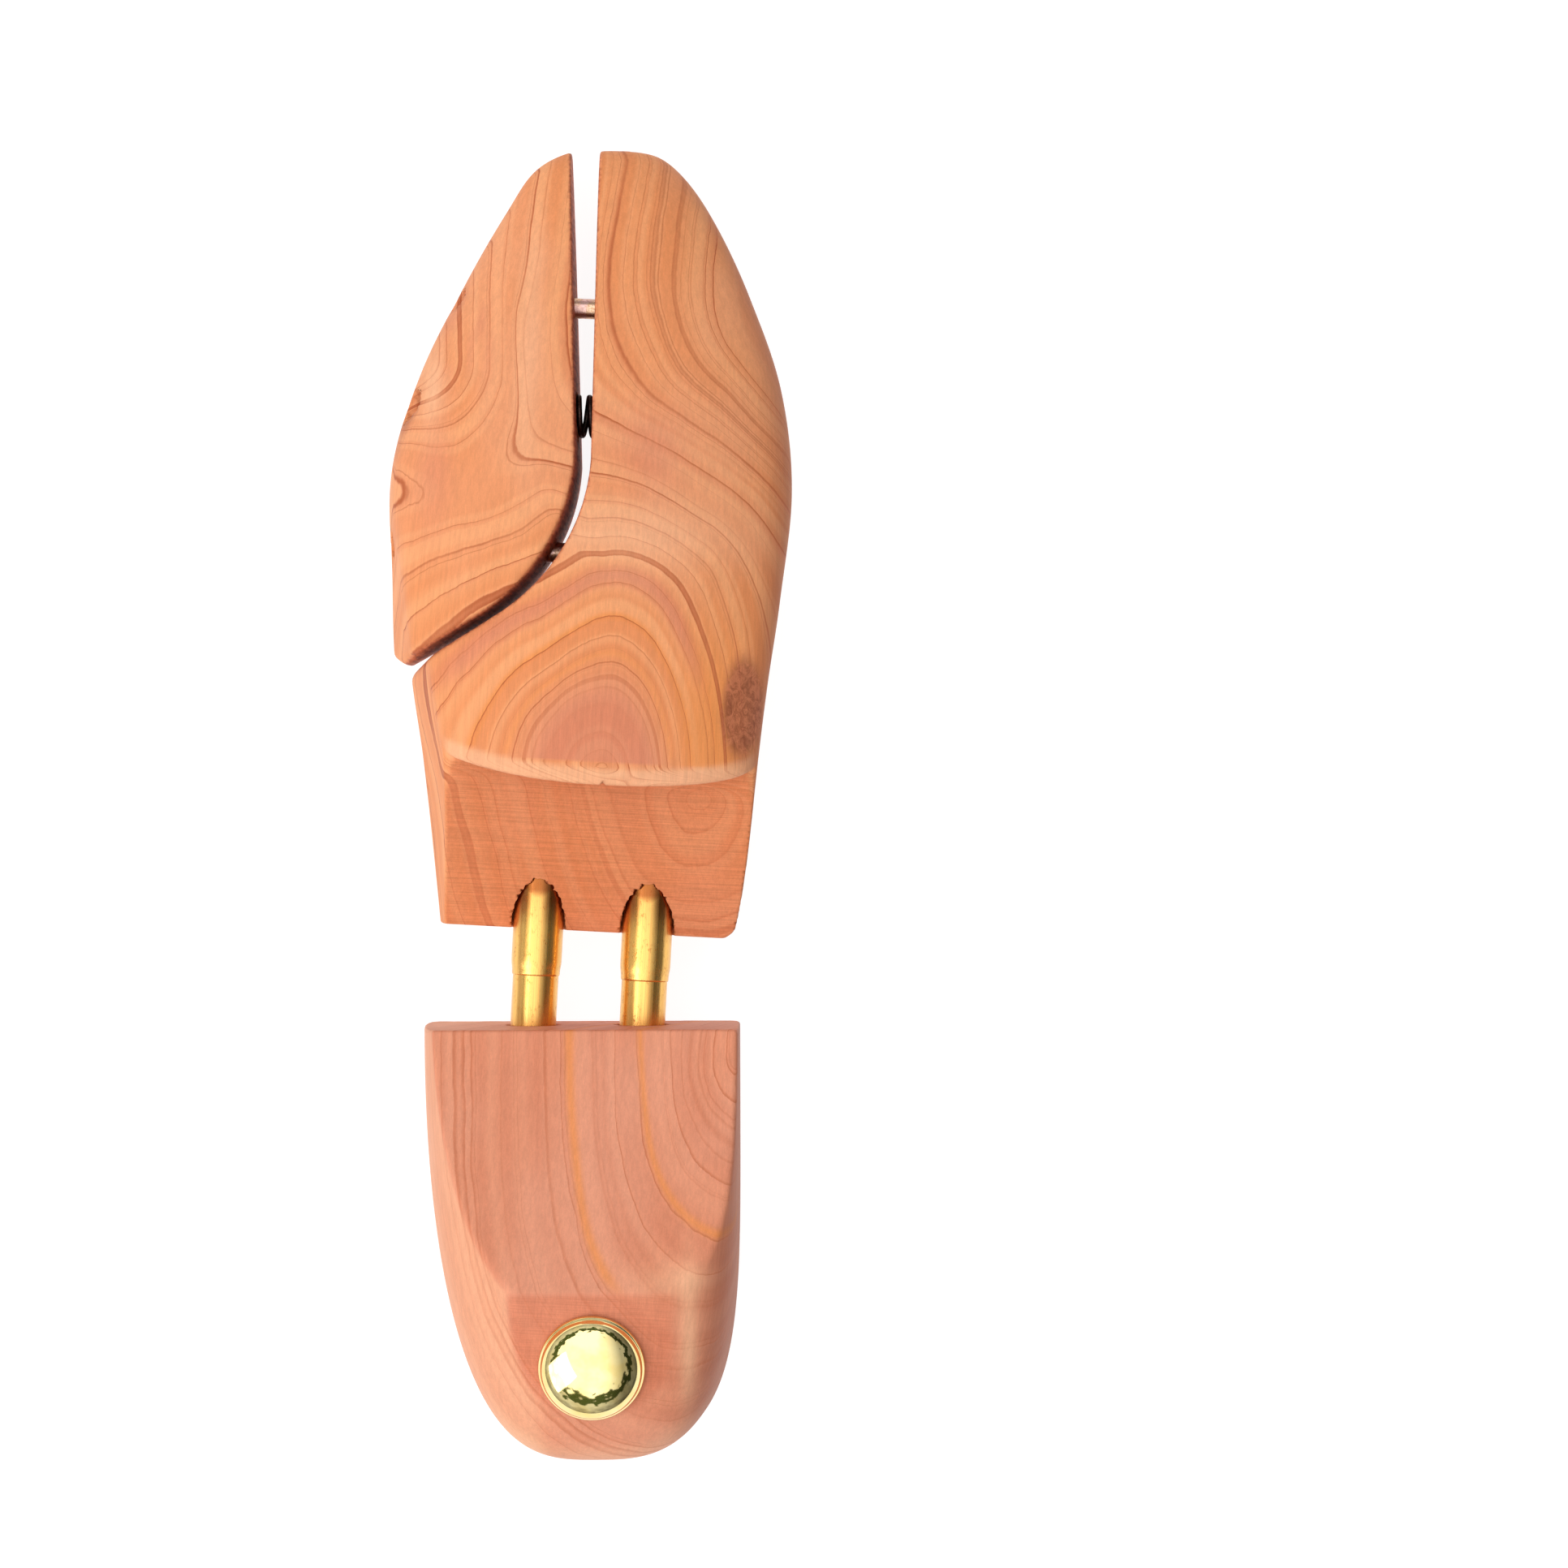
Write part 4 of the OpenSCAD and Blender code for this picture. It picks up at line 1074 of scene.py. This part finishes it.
def floor():
    """Plain pale floor just under the tree, bright enough to read as white."""
    n = Net("floor_paint")
    speck = n.noise(n.place(), 0.02, 2.0)
    n.set(Base_Color=n.mix(speck, tone(132, 132, 132), tone(128, 128, 128)), Roughness=0.9,
          Specular_IOR_Level=0.1, Emission_Color=(1, 1, 1, 1), Emission_Strength=0.9)
    row = FLOOR_CELLS + 1
    edge = [FLOOR_HALF * (2 * i / FLOOR_CELLS - 1) for i in range(row)]
    points = [(x, y, FLOOR_Z) for y in edge for x in edge]
    faces = [(k, k + 1, k + row + 1, k + row)
             for j in range(FLOOR_CELLS) for k in range(j * row, j * row + FLOOR_CELLS)]
    mesh_object("floor", points, faces, n.material)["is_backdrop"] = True


def area(name, location, aim, size, power, colour=(1, 1, 1)):
    """Rectangular light at location, aimed at a point."""
    data = bpy.data.lights.new(name, "AREA")
    data.shape = "RECTANGLE"
    data.size, data.size_y = size
    data.energy, data.color = power, colour
    obj = bpy.data.objects.new(name, data)
    obj.location = location
    dx, dy, dz = (a - b for a, b in zip(aim, location))
    pitch = math.acos(-dz / math.hypot(dx, dy, dz))
    obj.rotation_euler = (pitch, 0, math.atan2(dy, dx) - math.pi / 2)
    bpy.context.scene.collection.objects.link(obj)


def ranged(tree, value, low, high, a, b):
    node = tree.nodes.new("ShaderNodeMapRange")
    tree.links.new(value, node.inputs["Value"])
    for key, v in (("From Min", low), ("From Max", high), ("To Min", a), ("To Max", b)):
        node.inputs[key].default_value = v
    return node.outputs[0]


def studio():
    """World with a bright canopy overhead, a ragged dark gap round it and a dim medial side."""
    world = bpy.data.worlds.new("studio")
    world.use_nodes = True
    tree = world.node_tree
    back = tree.nodes["Background"]
    place = tree.nodes.new("ShaderNodeTexCoord").outputs["Generated"]
    split = tree.nodes.new("ShaderNodeSeparateXYZ")
    tree.links.new(place, split.inputs[0])
    noise = tree.nodes.new("ShaderNodeTexNoise")
    noise.inputs["Scale"].default_value = 7.0
    noise.inputs["Detail"].default_value = 4.0
    tree.links.new(place, noise.inputs["Vector"])
    ragged = tree.nodes.new("ShaderNodeMath")
    ragged.operation = "ADD"
    tree.links.new(split.outputs[2], ragged.inputs[0])
    tree.links.new(ranged(tree, noise.outputs["Fac"], 0.25, 0.75, -0.17, 0.17), ragged.inputs[1])
    height = tree.nodes.new("ShaderNodeValToRGB")
    tree.links.new(ragged.outputs[0], height.inputs[0])
    dim, wall, gap, canopy = (0.3,) * 3, (0.8,) * 3, (0.09, 0.12, 0.05), (1.75,) * 3
    ramp = height.color_ramp
    ramp.elements[0].position, ramp.elements[0].color = 0.0, (*dim, 1)
    ramp.elements[1].position, ramp.elements[1].color = 1.0, (*canopy, 1)
    for at, level in ((0.38, wall), (0.44, wall), (0.48, gap), (0.65, gap), (0.69, canopy)):
        ramp.elements.new(at).color = (*level, 1)
    tree.links.new(height.outputs[0], back.inputs[0])
    tree.links.new(ranged(tree, split.outputs[0], 0.1, 0.6, 1.0, 0.25), back.inputs[1])
    bpy.context.scene.world = world


def lights():
    """The studio world and a soft key light from the rear left."""
    studio()
    area("key", (-1.05, -0.75, 1.15), (0, 0, 0), (1.1, 1.3), 10.5)
    bpy.context.scene.view_settings.view_transform = "Standard"


def main():
    camera()
    wood_blocks()
    tubes()
    plain = springs()
    guide_pins()
    knob()
    carried_over(plain)
    floor()
    lights()


main()
for corner in (*cad_box, *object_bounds()):
    "%s\n" % [round(v, 6) for v in corner]
